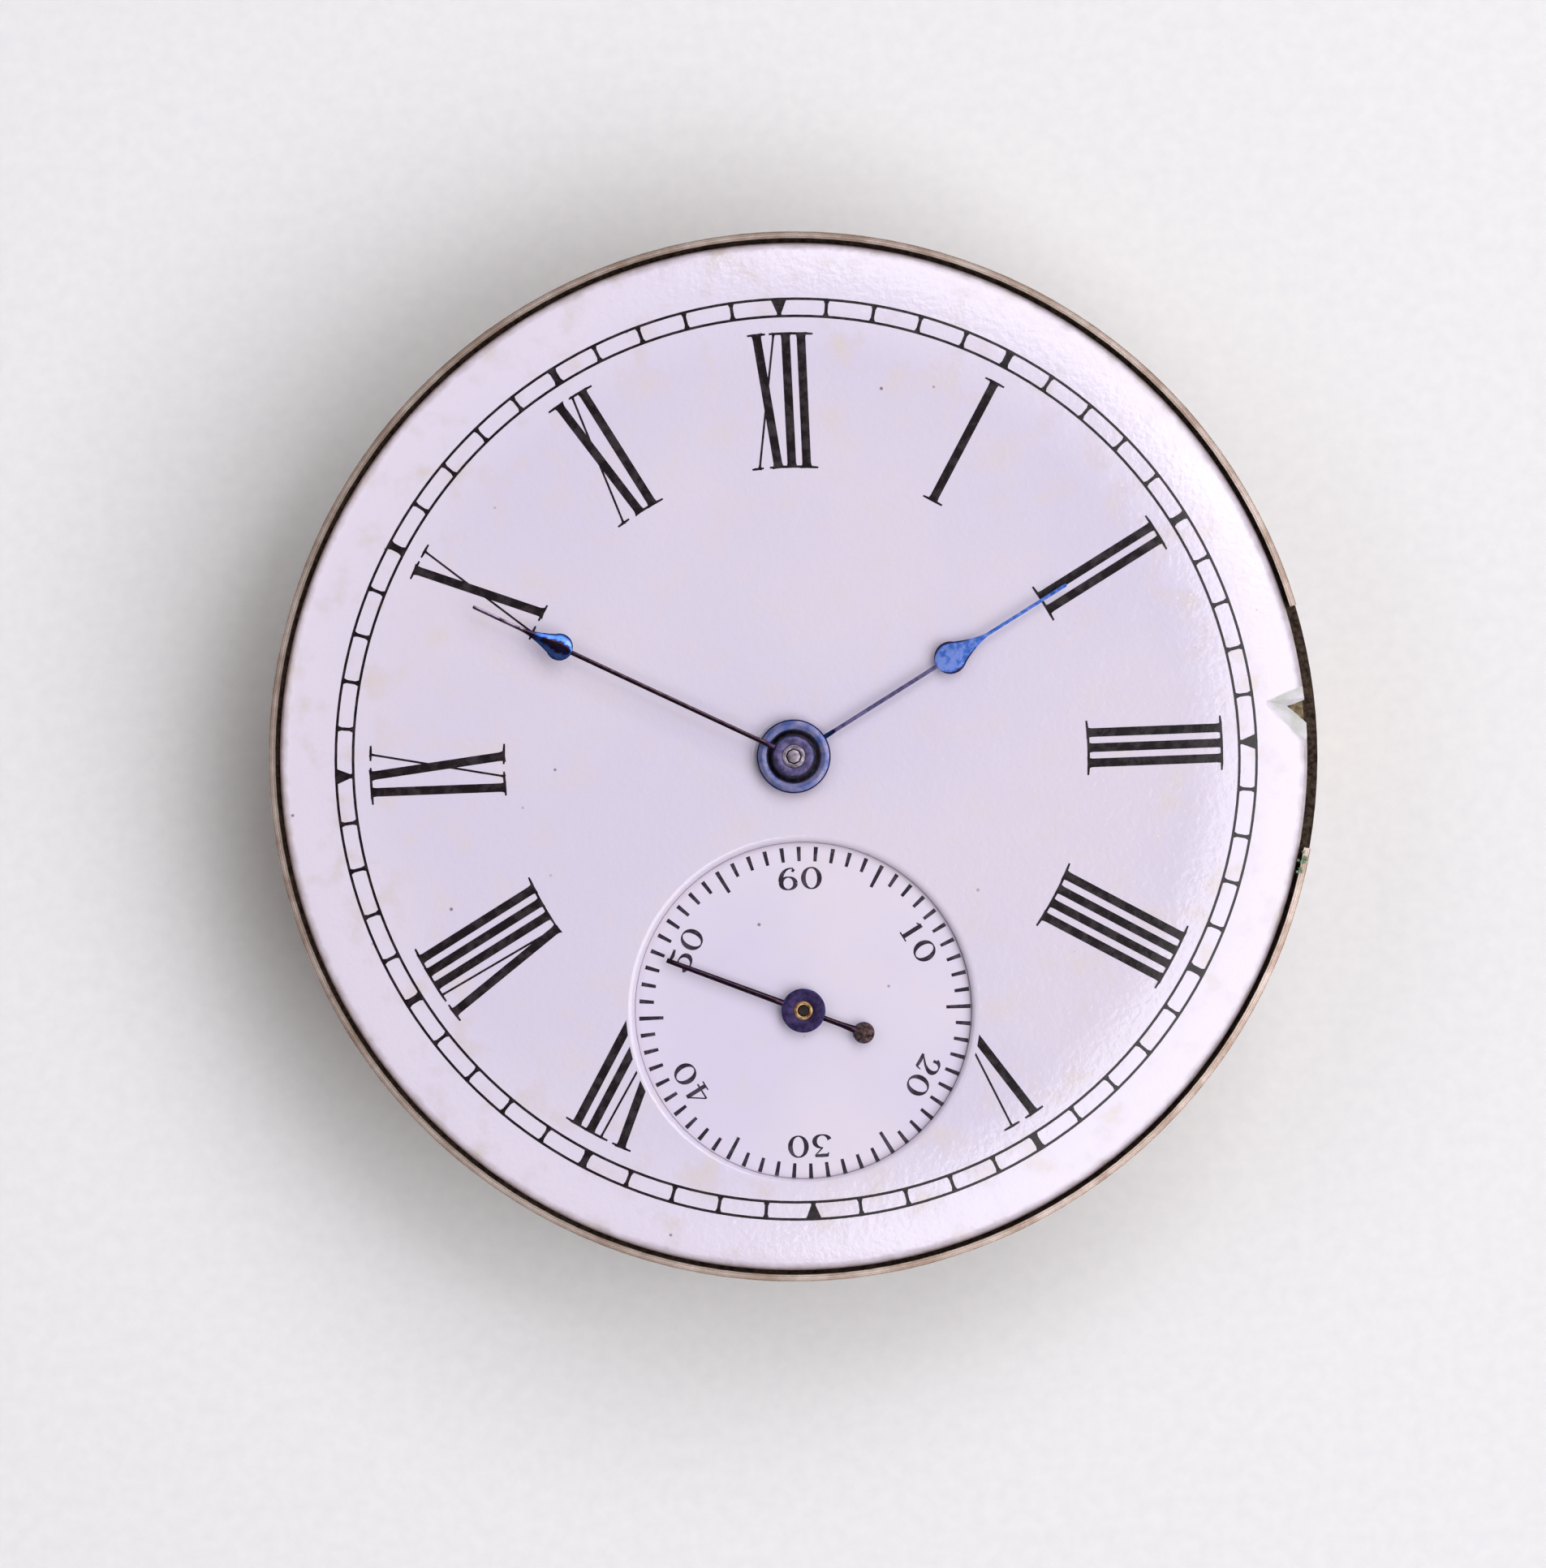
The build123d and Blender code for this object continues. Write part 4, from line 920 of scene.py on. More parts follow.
# Wheel brass drawn straight and gilt: a yellow gold with a fine grain one way
BRASS = Metal(
    "gilt_wheel_brass",
    colour="#E2BC6C",
    shade="#C99C4C",
    roughness=0.24,
    grain=Grain.STRAIGHT,
    grain_size=0.08,
    grain_depth=0.0012,
)
# The balance's brass, turned and gilt: the brightest gold, ringed round its staff
BALANCE_BRASS = Metal(
    "gilt_balance_brass",
    colour="#E6C274",
    shade="#CDA356",
    roughness=0.2,
    grain=Grain.TURNED,
    grain_size=0.06,
    grain_depth=0.001,
    centre=BALANCE,
)
# A brass pipe worn by the hand that it carries: gold with coppery brown patches
PIPE_BRASS = Metal("worn_pipe_brass", colour="#D8B48A", shade="#8A5A3C", roughness=0.28, patch=0.3)
# Copper oxidised in the kiln and stippled: a dull olive brown
COPPER = Metal(
    "oxidised_copper",
    colour="#8A7A62",
    shade="#2E2A1C",
    roughness=0.45,
    grain=Grain.FROSTED,
    grain_size=0.15,
    grain_depth=0.02,
    patch=0.3,
)
# Spring steel rolled and blued: a dark blue ribbon with a thin bright edge
SPRING = Metal("blued_spring_steel", colour="#3C4A8C", shade="#232B58", roughness=0.22, grain_size=0.1)
# Garnet cut and polished: a small red light
STONE = Garnet("polished_garnet")
# Oil dried on steel: a matt brown black, which also serves as painted shade on the pipe and arbor tops that
# sit in dark holes
OIL_AND_SHADE = Crust("dried_oil_grime")
# Copper salts grown at the lip: pale green crumbs
VERDIGRIS = Crust("verdigris", colour="#3E6A50", shade="#8FA88A", size=0.06, depth=0.03)
# Uncoated paper: an even pale ground that takes a soft shadow
PAPER = Paper("pale_paper")


def dressed(piece: Piece, finish: Finish, body: str | None = None) -> Piece:
    """Gives a piece its finish, and lets it ride on a body.

    Args:
        piece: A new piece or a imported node.
        finish: Its finish.
        body: The body that it rides on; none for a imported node.

    Returns:
        The same piece.
    """
    piece.data.materials.clear()
    piece.data.materials.append(finish.material())
    if body:
        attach(piece, body)
    log.info("%s: %s", piece.name, finish.name)
    return piece


def second_finish(piece: Piece, finish: Finish, test: Test, middle_only: bool = False) -> None:
    """Gives some faces of a piece another finish.

    Args:
        piece: The piece, which has its main finish.
        finish: The other finish.
        test: Takes a corner of a face in mm and the face's normal; all corners must pass.
        middle_only: Whether just the middle of a face is tested.
    """
    piece.data.materials.append(finish.material())
    last = len(piece.data.materials) - 1
    points = piece.data.vertices
    for face in piece.data.polygons:
        corners = [face.center] if middle_only else [points[index].co for index in face.vertices]
        if all(test(corner / MM, face.normal) for corner in corners):
            face.material_index = last


def facing_up(inner: float, outer: float, least: float, centre: Point = CENTRE) -> Test:
    """A test for what lies between two radii in mm about a centre and faces up by more than the least z."""
    return lambda place, normal: inner <= math.dist(place.xy, centre) < outer and normal.z > least


# The dial


@dataclass
class Dial:
    """The enamel dial: a flat disc with a falling, rounded edge, a sunk seconds bit and one chip."""

    back: float = 0.9
    hole_radius: float = 1.0
    hole_ease: float = 0.08
    bit_radius: float = 5.57
    bit_round: float = 0.22
    bit_thickness: float = 0.6
    bit_hole: float = 0.5
    bit_ease: float = 0.05
    cutter_reach: float = 0.3
    chip_apex: Point = (15.66, 1.22)
    chip_angle: float = -14.0
    chip_half_angle: float = 36.0
    chip_length: float = 2.2
    chip_span: Point = (-0.1, 1.75)
    chip_lift: float = 0.002
    chip_slope: float = 0.13
    notch_slope: float = 0.3
    notch_share: float = 0.4
    chip_grit: float = 0.012

    def build(self) -> None:
        """Models the enamel, the bit and the copper, and dresses them."""
        plate = self.enamel_disc()
        cut(plate, self.bit_cutter())
        self.break_chip(plate)
        even_normals(plate)
        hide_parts("dial_enamel")
        dressed(plate, ENAMEL, "movement")
        second_finish(plate, RAW_ENAMEL, self.in_chip, middle_only=True)
        bit = turn("seconds_dial", FOURTH, self.bit_profile(), steps=128)
        even_normals(bit)
        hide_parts("seconds_bit")
        dressed(bit, BIT_ENAMEL, "movement")
        dressed(refined("dial_copper", 0.02), COPPER, "movement")

    def enamel_disc(self) -> Piece:
        """Turns the disc with its centre hole.

        Returns:
            The disc.
        """
        hole, ease = self.hole_radius, self.hole_ease
        mouth = [(hole, DIAL_FRONT - ease), (hole + ease / 4, DIAL_FRONT - 0.375 * ease)]
        flat = [(hole + ease, DIAL_FRONT), (hole + 0.5, DIAL_FRONT)]
        inner, low = DIAL_RADIUS - EDGE_ROUND, DIAL_FRONT - DOME_DROP - EDGE_ROUND
        slope = []
        for step in range(17):
            radius = DOME_START + (inner - DOME_START) * step / 16
            slope.append((radius, dial_height(radius)))
        rim = [polar(EDGE_ROUND, 90 - 15 * step, (inner, low)) for step in range(2, 7)]
        profile = [(hole, self.back), *mouth, *flat, *slope, *rim, (DIAL_RADIUS, self.back)]
        return turn("dial_enamel_disc", CENTRE, profile, steps=256)

    def in_chip(self, place: Vector, normal: Vector) -> bool:
        """Says whether a face of the enamel, by its middle in mm, lies in the chip."""
        near = place.x > self.chip_apex[0] - 0.06 and self.chip_span[0] < place.y < self.chip_span[1]
        return near and self.back - 0.02 < place.z < dial_height(min(place.xy.length, DIAL_RADIUS)) - 0.004

    def bit_cutter(self) -> Piece:
        """Turns the cutter for the bit's hole, with a rounded mouth.

        Returns:
            The cutter.
        """
        mouth = []
        for step in range(7):
            lean = math.radians(15 * step)
            radius = self.bit_radius + self.bit_round * (1 - math.cos(lean))
            mouth.append((radius, DIAL_FRONT - self.bit_round * (1 - math.sin(lean))))
        low, top = self.back - self.cutter_reach, DIAL_FRONT + self.cutter_reach
        profile = [(0.0, low), (self.bit_radius, low), *mouth, (mouth[-1][0], top), (0.0, top)]
        return turn("bit_cutter", FOURTH, profile, steps=192)

    def bit_profile(self) -> list[Point]:
        """The sunk disc's outline, with eased edges.

        Returns:
            The outline.
        """
        hole, edge, ease = self.bit_hole, self.bit_radius, self.bit_ease
        floor = BIT_FRONT - self.bit_thickness
        return [
            (hole, floor),
            (edge, floor),
            (edge, BIT_FRONT - ease),
            (edge - ease * 0.3, BIT_FRONT - ease * 0.3),
            (edge - ease, BIT_FRONT),
            (hole + ease, BIT_FRONT),
            (hole, BIT_FRONT - ease),
        ]

    def break_chip(self, plate: Piece) -> None:
        """Breaks the chip out of the edge near three, down to the copper at its outer corner.

        Args:
            plate: The enamel disc.
        """
        bpy.ops.object.select_all(action="DESELECT")
        bpy.ops.mesh.primitive_grid_add(x_subdivisions=14, y_subdivisions=14, size=2)
        wedge = bpy.context.object
        apex = Vector(self.chip_apex)
        along = Vector(polar(1.0, self.chip_angle))
        across = Vector(polar(1.0, self.chip_angle + 90)) * math.tan(math.radians(self.chip_half_angle))
        chance = random.Random(7)
        for vertex in wedge.data.vertices:
            reach, side = (vertex.co.x + 1) / 2, vertex.co.y
            spread = reach * self.chip_length
            place = apex + along * spread + across * side * spread
            notch = self.notch_slope * max(0.0, 1.0 - abs(side) / self.notch_share)
            fall = spread * (self.chip_slope * (1.0 - abs(side) ** 3) + notch)
            fall += chance.uniform(-self.chip_grit, self.chip_grit) * spread
            skin = dial_height(min(place.length, DIAL_RADIUS))
            vertex.co = (place.x * MM, place.y * MM, (skin + self.chip_lift - fall) * MM)
        with editing(wedge):
            bpy.ops.mesh.extrude_region_move(TRANSFORM_OT_translate={"value": (0, 0, 1.2 * MM)})
        with editing(wedge):
            pick(wedge, Part.VERT, lambda place, normal: place.z > DIAL_FRONT + 0.01)
            bpy.ops.transform.resize(value=(1, 1, 0), center_override=(0, 0, 2.4 * MM))
        close_up(wedge)
        cut(plate, wedge)


# The printing


def trimmed(points: Sequence[Point], centre: Point, radius: float) -> list[Point]:
    """Keeps what of a four-sided outline lies outside a circle.

    Args:
        points: Two points on the left and two on the right, as left, right, next right, next left.
        centre: The circle's centre.
        radius: Its radius.

    Returns:
        The outline, or nothing if it lies inside.
    """
    kept: list[Point] = []
    for start, end in zip(points, [*points[1:], points[0]]):
        near = math.dist(start, centre) - radius
        far = math.dist(end, centre) - radius
        if near >= 0:
            kept.append(start)
        if near * far < 0:
            share = near / (near - far)
            kept.append((start[0] + (end[0] - start[0]) * share, start[1] + (end[1] - start[1]) * share))
    return kept


@dataclass
class Ink:
    """A sheet of fired ink that lies on the dial, drawn patch by patch."""

    name: str
    height: Callable[[float], float]
    thickness: float = 0.012
    layer: float = 0.0004
    sheet: Piece | None = None
    drawn: int = 0

    def draw(self, points: Sequence[Point]) -> None:
        """Draws one filled patch.

        Args:
            points: Its closed outline, in mm.
        """
        if len(points) < 3:
            return
        if self.sheet is None:
            bpy.ops.object.select_all(action="DESELECT")
        bpy.ops.mesh.primitive_circle_add(vertices=len(points), radius=MM, fill_type="NGON")
        if self.sheet is None:
            self.sheet = bpy.context.object
            self.sheet.name = self.name
            bpy.ops.object.mode_set(mode="EDIT")
        mesh = bmesh.from_edit_mesh(self.sheet.data)
        mesh.verts.ensure_lookup_table()
        for vertex, (x, y) in zip(mesh.verts[-len(points) :], points):
            lift = self.height(math.hypot(x, y)) + self.layer * (self.drawn % 9)
            vertex.co = (x * MM, y * MM, lift * MM)
        bmesh.update_edit_mesh(self.sheet.data)

    def band(self, path: Sequence[Station], hole: tuple[Point, float] | None = None) -> None:
        """Draws a line of changing width, patch by patch.

        Args:
            path: Points (x, y, width) in mm.
            hole: A circle's centre and radius that the line stays out of, or none.
        """
        self.drawn += 1
        sides: list[tuple[Point, Point]] = []
        for index, (x, y, width) in enumerate(path):
            before, after = path[max(index - 1, 0)], path[min(index + 1, len(path) - 1)]
            run = Vector((after[0] - before[0], after[1] - before[1])).normalized()
            across = Vector((-run.y, run.x)) * width / 2
            sides.append(((x + across.x, y + across.y), (x - across.x, y - across.y)))
        for (left, right), (next_left, next_right) in zip(sides, sides[1:]):
            patch = [left, right, next_right, next_left]
            self.draw(trimmed(patch, *hole) if hole else patch)

    def lay(self, rounds: Sequence[tuple[int, float]] = (), centre: Point = CENTRE) -> Piece:
        """Closes the sheet and gives it its thickness.

        Args:
            rounds: How often and by which angle it is repeated first.
            centre: The point that it is repeated round.

        Returns:
            The thin piece.
        """
        bpy.ops.object.mode_set(mode="OBJECT")
        for copies, step in rounds:
            repeat(self.sheet, copies, step, centre)
        if rounds:
            for vertex in self.sheet.data.vertices:
                vertex.co.z = self.height((vertex.co / MM).xy.length) * MM
        with editing(self.sheet):
            bpy.ops.mesh.remove_doubles(threshold=MERGE / 10)
        for face in self.sheet.data.polygons:
            if face.normal.z < 0:
                face.flip()
        finish_with(self.sheet, "SOLIDIFY", thickness=self.thickness * MM, offset=-1.0)
        return self.sheet


def radial_mark(reach: Sequence[Point], angle: float, centre: Point) -> list[Point]:
    """The outline of a mark that lies along a radius.

    Args:
        reach: Radii with the half widths there, from the inside out, in mm.
        angle: Its place on the ring, in degrees.
        centre: The ring's centre.

    Returns:
        The outline.
    """
    right = [polar(radius, angle - math.degrees(side / radius), centre) for radius, side in reach]
    left = [polar(radius, angle + math.degrees(side / radius), centre) for radius, side in reversed(reach)]
    return right + left


def on_ray(centre: Point, clock: float, out: float, across: float) -> Point:
    """The point out along the ray at a clock angle, and across it clockwise.

    Args:
        centre: The ray's start.
        clock: Degrees clockwise from twelve.
        out: Distance along it, in mm.
        across: Distance to its side, in mm.

    Returns:
        The point, in mm.
    """
    aim = math.radians(90.0 - clock)
    x = centre[0] + out * math.cos(aim) + across * math.sin(aim)
    return (x, centre[1] + out * math.sin(aim) - across * math.cos(aim))


def on_dial(radius: float) -> float:
    """The height of ink on the dial's face at a radius, in mm."""
    return dial_height(radius) + 0.008


def on_bit(radius: float) -> float:
    """The height of ink on the sunk seconds bit, in mm."""
    return BIT_FRONT + 0.006


@dataclass
class MinuteTrack:
    """The chapter ring: two fine circles joined by sixty ticks, with points at the quarters."""

    centre: Point = (0.082, -0.092)
    outer: float = 15.21
    inner: float = 14.64
    line: float = 0.085
    minute_width: float = 0.11
    five_minute_width: float = 0.235

    def build(self) -> Piece:
        """Draws the circles and the ticks.

        Returns:
            The track.
        """
        rings = Ink("track_rings", on_dial)
        for radius in (self.outer, self.inner):
            path = [(*polar(radius, 2.0 * step, self.centre), self.line) for step in range(181)]
            rings.band(path)
        parts = [rings.lay()]
        for name, outline, rounds in (
            ("minute_ticks", self.tick(self.minute_width, 84.0), ((4, -6.0), (12, -30.0))),
            ("five_minute_ticks", self.tick(self.five_minute_width, 60.0), ((2, -30.0), (4, -90.0))),
            ("quarter_points", self.point(90.0), ((4, -90.0),)),
        ):
            ticks = Ink(name, on_dial)
            ticks.draw(outline)
            parts.append(ticks.lay(rounds, self.centre))
        return joined("minute_track", parts)

    def tick(self, width: float, angle: float) -> list[Point]:
        """One tick, flared where its ink runs into the circles.

        Args:
            width: Width at the middle, in mm.
            angle: Its place on the ring.

        Returns:
            The outline.
        """
        # Distances from a circle, and how much wider each side is there
        flares = ((0.0, 0.075), (0.07, 0.03), (0.15, 0.0))
        reach = [(self.inner + run, width / 2 + flare) for run, flare in flares]
        reach += [(self.outer - run, width / 2 + flare) for run, flare in reversed(flares)]
        return radial_mark(reach, angle, self.centre)

    def point(self, angle: float) -> list[Point]:
        """The quarter's wedge, wide at the outer circle."""
        reach = ((self.inner, 0.09), (self.inner + 0.1, 0.07), (self.outer - 0.08, 0.23), (self.outer, 0.28))
        return radial_mark(reach, angle, self.centre)


class Weight(Enum):
    """The weight of a numeral's stroke, by its width in mm."""

    THICK = 0.285
    THIN = 0.068


T, N = Weight.THICK, Weight.THIN


@dataclass(frozen=True)
class Numeral:
    """A Roman numeral: strokes (weight, x at the top, x at the foot) and serifs (from x, to x), in mm."""

    hour: int
    strokes: tuple[tuple[Weight, float, float], ...]
    heads: tuple[Point, ...]
    feet: tuple[Point, ...]


def uprights(hour: int, places: Sequence[float], overhang: float) -> Numeral:
    """A numeral of like strokes under one common serif.

    Args:
        hour: Its hour.
        places: The strokes' places, in mm.
        overhang: How far the serif runs past the outer strokes' middles.

    Returns:
        The numeral.
    """
    bar = ((places[0] - overhang, places[-1] + overhang),)
    return Numeral(hour, tuple((T, place, place) for place in places), bar, bar)


NUMERALS = (
    uprights(1, (0.0,), 0.35),
    uprights(2, (-0.255, 0.255), 0.4),
    uprights(3, (-0.5, 0.0, 0.5), 0.4),
    uprights(4, (-0.765, -0.255, 0.255, 0.765), 0.4),
    Numeral(5, ((T, -0.43, 0.0), (N, 0.43, 0.02)), ((-0.79, -0.08), (0.14, 0.72)), ()),
    Numeral(
        7,
        ((T, -0.855, -0.24), (N, -0.115, -0.2), (T, 0.295, 0.295), (T, 0.805, 0.805)),
        ((-1.2, -0.53), (-0.36, 1.205)),
        (),
    ),
    Numeral(
        8,
        ((T, -1.07, -0.52), (N, -0.36, -0.5), (T, 0.0, 0.0), (T, 0.5, 0.5), (T, 1.0, 1.0)),
        ((-1.4, -0.75), (-0.61, 1.4)),
        ((-0.35, 1.4),),
    ),
    Numeral(
        9,
        ((T, -0.565, -0.565), (T, -0.025, 0.475), (N, 0.695, -0.205)),
        ((-0.975, 0.245), (0.475, 0.975)),
        ((-0.835, -0.045), (0.205, 0.875)),
    ),
    Numeral(
        10,
        ((T, -0.35, 0.37), (N, 0.355, -0.375)),
        ((-0.68, -0.03), (0.11, 0.6)),
        ((-0.62, -0.13), (0.07, 0.66)),
    ),
    Numeral(
        11,
        ((T, -0.425, -0.015), (N, 0.115, -0.68), (T, 0.475, 0.475)),
        ((-0.825, -0.255), (-0.025, 0.85)),
        ((-0.89, -0.445), (-0.19, 0.853)),
    ),
    Numeral(
        12,
        ((T, -0.79, -0.21), (N, -0.21, -0.84), (T, 0.18, 0.23), (T, 0.69, 0.72)),
        ((-1.09, -0.49), (-0.37, 1.08)),
        ((-1.08, -0.7), (-0.5, 1.1)),
    ),
)


@dataclass
class RomanNumerals:
    """The hours, painted along the radii with their heads outwards."""

    centre: Point = (0.082, -0.092)
    foot_radius: float = 9.62
    height: float = 4.48
    serif: float = 0.08
    bit_clear: float = 5.86

    def build(self) -> Piece:
        """Draws every numeral.

        Returns:
            The numerals as one piece.
        """
        ink = Ink("hour_numerals", on_dial)
        for numeral in NUMERALS:
            hole = (FOURTH, self.bit_clear) if numeral.hour in (5, 7) else None
            for weight, top, foot in numeral.strokes:
                path = self.stroke(weight, top, foot)
                ink.band([(*self.placed(numeral.hour, x, y), width) for x, y, width in path], hole)
            for spans, low in ((numeral.heads, self.height - self.serif), (numeral.feet, 0.0)):
                for start, end in spans:
                    self.bar(ink, numeral.hour, start, end, low + self.serif / 2)
        return ink.lay()

    def placed(self, hour: int, x: float, y: float) -> Point:
        """Puts a point of a numeral on the dial, bent to its circle.

        Args:
            hour: The numeral's hour.
            x: Clockwise from the numeral's middle, in mm.
            y: Outwards from its foot, in mm.

        Returns:
            The point in mm.
        """
        out = math.sqrt((self.foot_radius + y) ** 2 - x**2)
        return on_ray(self.centre, 30.0 * hour, out, x)

    def stroke(self, weight: Weight, top: float, foot: float) -> list[Station]:
        """The path of one stroke, flared a little into its serifs.

        Args:
            weight: Its weight.
            top: Its x at the head.
            foot: Its x at the foot.

        Returns:
            Points (x, y, width) in the numeral's own frame.
        """
        flare = 0.13 if weight is T else 0.08
        flares = [(0.0, flare), (0.05, flare * 0.55), (0.1, flare * 0.22), (0.18, 0.0)]
        reach = [y for y, _ in flares] + [0.18 + (self.height - 0.36) * step / 8 for step in range(1, 8)]
        reach += [self.height - y for y, _ in reversed(flares)]
        path = []
        for y in reach:
            end = min(y, self.height - y)
            extra = next((wide for near, wide in reversed(flares) if end >= near - 1e-6), 0.0)
            path.append((foot + (top - foot) * y / self.height, y, weight.value + extra))
        return path

    def bar(self, ink: Ink, hour: int, start: float, end: float, middle: float) -> None:
        """Draws a serif that follows the numeral's circle.

        Args:
            ink: The sheet.
            hour: The numeral's hour.
            start: Where it starts, x in mm.
            end: Where it ends, x in mm.
            middle: The height of its middle.
        """
        steps = max(3, round((end - start) / 0.2))
        path = []
        for step in range(steps + 1):
            width = self.serif * (0.7 if step in (0, steps) else 1.0)
            path.append((*self.placed(hour, start + (end - start) * step / steps, middle), width))
        ink.band(path)


@dataclass
class SecondsTrack:
    """The seconds printing on the sunk bit."""

    centre: Point = (0.047, -8.469)
    outer: float = 5.48
    short_inner: float = 5.0
    long_inner: float = 4.68
    tick_width: float = 0.125
    boldness: float = 1.2
    digit_radius: float = 4.43
    digit_height: float = 0.74
    digit_pitch: float = 0.77

    def build(self) -> Piece:
        """Draws the ticks and the numerals.

        Returns:
            The printing as one piece.
        """
        parts = []
        for name, inner, angle, copies in (
            ("short_ticks", self.short_inner, 90.0, 60),
            ("long_ticks", self.long_inner, 60.0, 6),
        ):
            ticks = Ink(name, on_bit)
            ticks.draw(self.tick(inner, angle))
            laid = ticks.lay()
            repeat(laid, copies, 360.0 / copies, self.centre)
            parts.append(laid)
        self.drop_doubled(parts[0])
        digits = Ink("seconds_numerals", on_bit)
        for index, number in enumerate(("60", "10", "20", "30", "40", "50")):
            for side, digit in zip((-0.5, 0.5), number):
                for path in DIGITS[digit]:
                    digits.band([self.placed(60.0 * index, side, *station) for station in path])
        parts.append(digits.lay())
        return joined("seconds_printing", parts)

    def tick(self, inner: float, angle: float) -> list[Point]:
        """One tick, a little wider at its outer end."""
        reach = ((inner, self.tick_width * 0.42), (self.outer, self.tick_width * 0.55))
        return radial_mark(reach, angle, self.centre)

    def drop_doubled(self, ticks: Piece) -> None:
        """Takes out the short ticks that stand where the long ones go.

        Args:
            ticks: All sixty short ticks.
        """

        def doubled(place: Vector, normal: Vector) -> bool:
            """Says whether a long tick stands there."""
            angle = bearing(self.centre, (place.x, place.y))
            return abs((angle + 30.0) % 60.0 - 30.0) < 2.0

        with editing(ticks):
            pick(ticks, Part.FACE, doubled)
            bpy.ops.mesh.delete(type="FACE")

    def placed(self, clock: float, side: float, x: float, y: float, width: float) -> Station:
        """Puts a digit's point on the bit.

        Args:
            clock: The numeral's clock angle.
            side: Minus or plus half, for the left or right digit.
            x: The point's x, in digit heights.
            y: Its y from 0 to 1.
            width: The line's width there, in digit heights.

        Returns:
            The point and the width, in mm.
        """
        across = side * self.digit_pitch + x * self.digit_height
        out = self.digit_radius + (y - 0.5) * self.digit_height
        return (*on_ray(self.centre, clock, out, across), width * self.digit_height * self.boldness)


def bowl(x: float, y: float, wide: float, high: float, start: float, end: float, steps: int) -> list[Station]:
    """A rounded pen line, thick at its sides and thin at its top and foot.

    Args:
        x: The middle's x, in digit heights.
        y: The middle's y.
        wide: Half the width.
        high: Half the height.
        start: The first angle in degrees.
        end: The last angle in degrees.
        steps: How many runs it has.

    Returns:
        The pen's path.
    """
    path = []
    for step in range(steps + 1):
        angle = math.radians(start + (end - start) * step / steps)
        width = 0.045 + 0.13 * abs(math.cos(angle)) ** 1.6
        path.append((x + wide * math.cos(angle), y + high * math.sin(angle), width))
    return path


# Each digit's pen lines, as points (x, y, width) in digit heights
DIGITS: dict[str, list[list[Station]]] = {
    "0": [bowl(0.0, 0.5, 0.36, 0.47, 90, 450, 24)],
    "1": [
        [(0.0, 1.0, 0.16), (0.0, 0.0, 0.16)],
        [(-0.2, 0.86, 0.05), (0.0, 0.97, 0.06)],
        [(-0.24, 0.02, 0.05), (0.24, 0.02, 0.05)],
    ],
    "2": [
        bowl(0.0, 0.72, 0.28, 0.26, 175, -35, 12),
        [(0.25, 0.58, 0.14), (0.08, 0.36, 0.08), (-0.3, 0.06, 0.05)],
        [(-0.32, 0.06, 0.1), (0.0, 0.08, 0.13), (0.3, 0.05, 0.11)],
        [(0.3, 0.03, 0.06), (0.36, 0.26, 0.04)],
        [(-0.3, 0.7, 0.15), (-0.17, 0.7, 0.15)],
    ],
    "3": [
        [(-0.3, 0.8, 0.05), (-0.26, 0.98, 0.05)],
        [(-0.28, 0.92, 0.12), (0.0, 0.93, 0.13), (0.3, 0.94, 0.09)],
        [(0.3, 0.93, 0.05), (-0.03, 0.59, 0.05)],
        bowl(-0.03, 0.3, 0.34, 0.29, 95, -165, 14),
    ],
    "4": [
        [(0.12, 1.0, 0.15), (0.12, 0.0, 0.15)],
        [(0.1, 0.99, 0.05), (-0.38, 0.3, 0.05)],
        [(-0.4, 0.28, 0.06), (0.36, 0.28, 0.06)],
        [(-0.1, 0.02, 0.05), (0.34, 0.02, 0.05)],
    ],
    "5": [
        [(-0.22, 0.92, 0.1), (0.0, 0.91, 0.13), (0.28, 0.96, 0.09)],
        [(-0.23, 0.96, 0.05), (-0.28, 0.52, 0.05)],
        bowl(-0.04, 0.31, 0.35, 0.29, 130, -165, 14),
    ],
    "6": [
        bowl(0.0, 0.3, 0.32, 0.28, 0, 360, 20),
        bowl(0.14, 0.42, 0.47, 0.55, 185, 78, 10),
        [(0.18, 0.9, 0.12), (0.28, 0.84, 0.12)],
    ],
}


@dataclass
class Printing:
    """All that is printed on the dial."""

    def build(self) -> None:
        """Builds the track, the hours and the seconds, and inks them."""
        for piece in (MinuteTrack().build(), RomanNumerals().build(), SecondsTrack().build()):
            dressed(piece, THIN_INK if piece.name == "seconds_printing" else INK, "movement")


# The hands


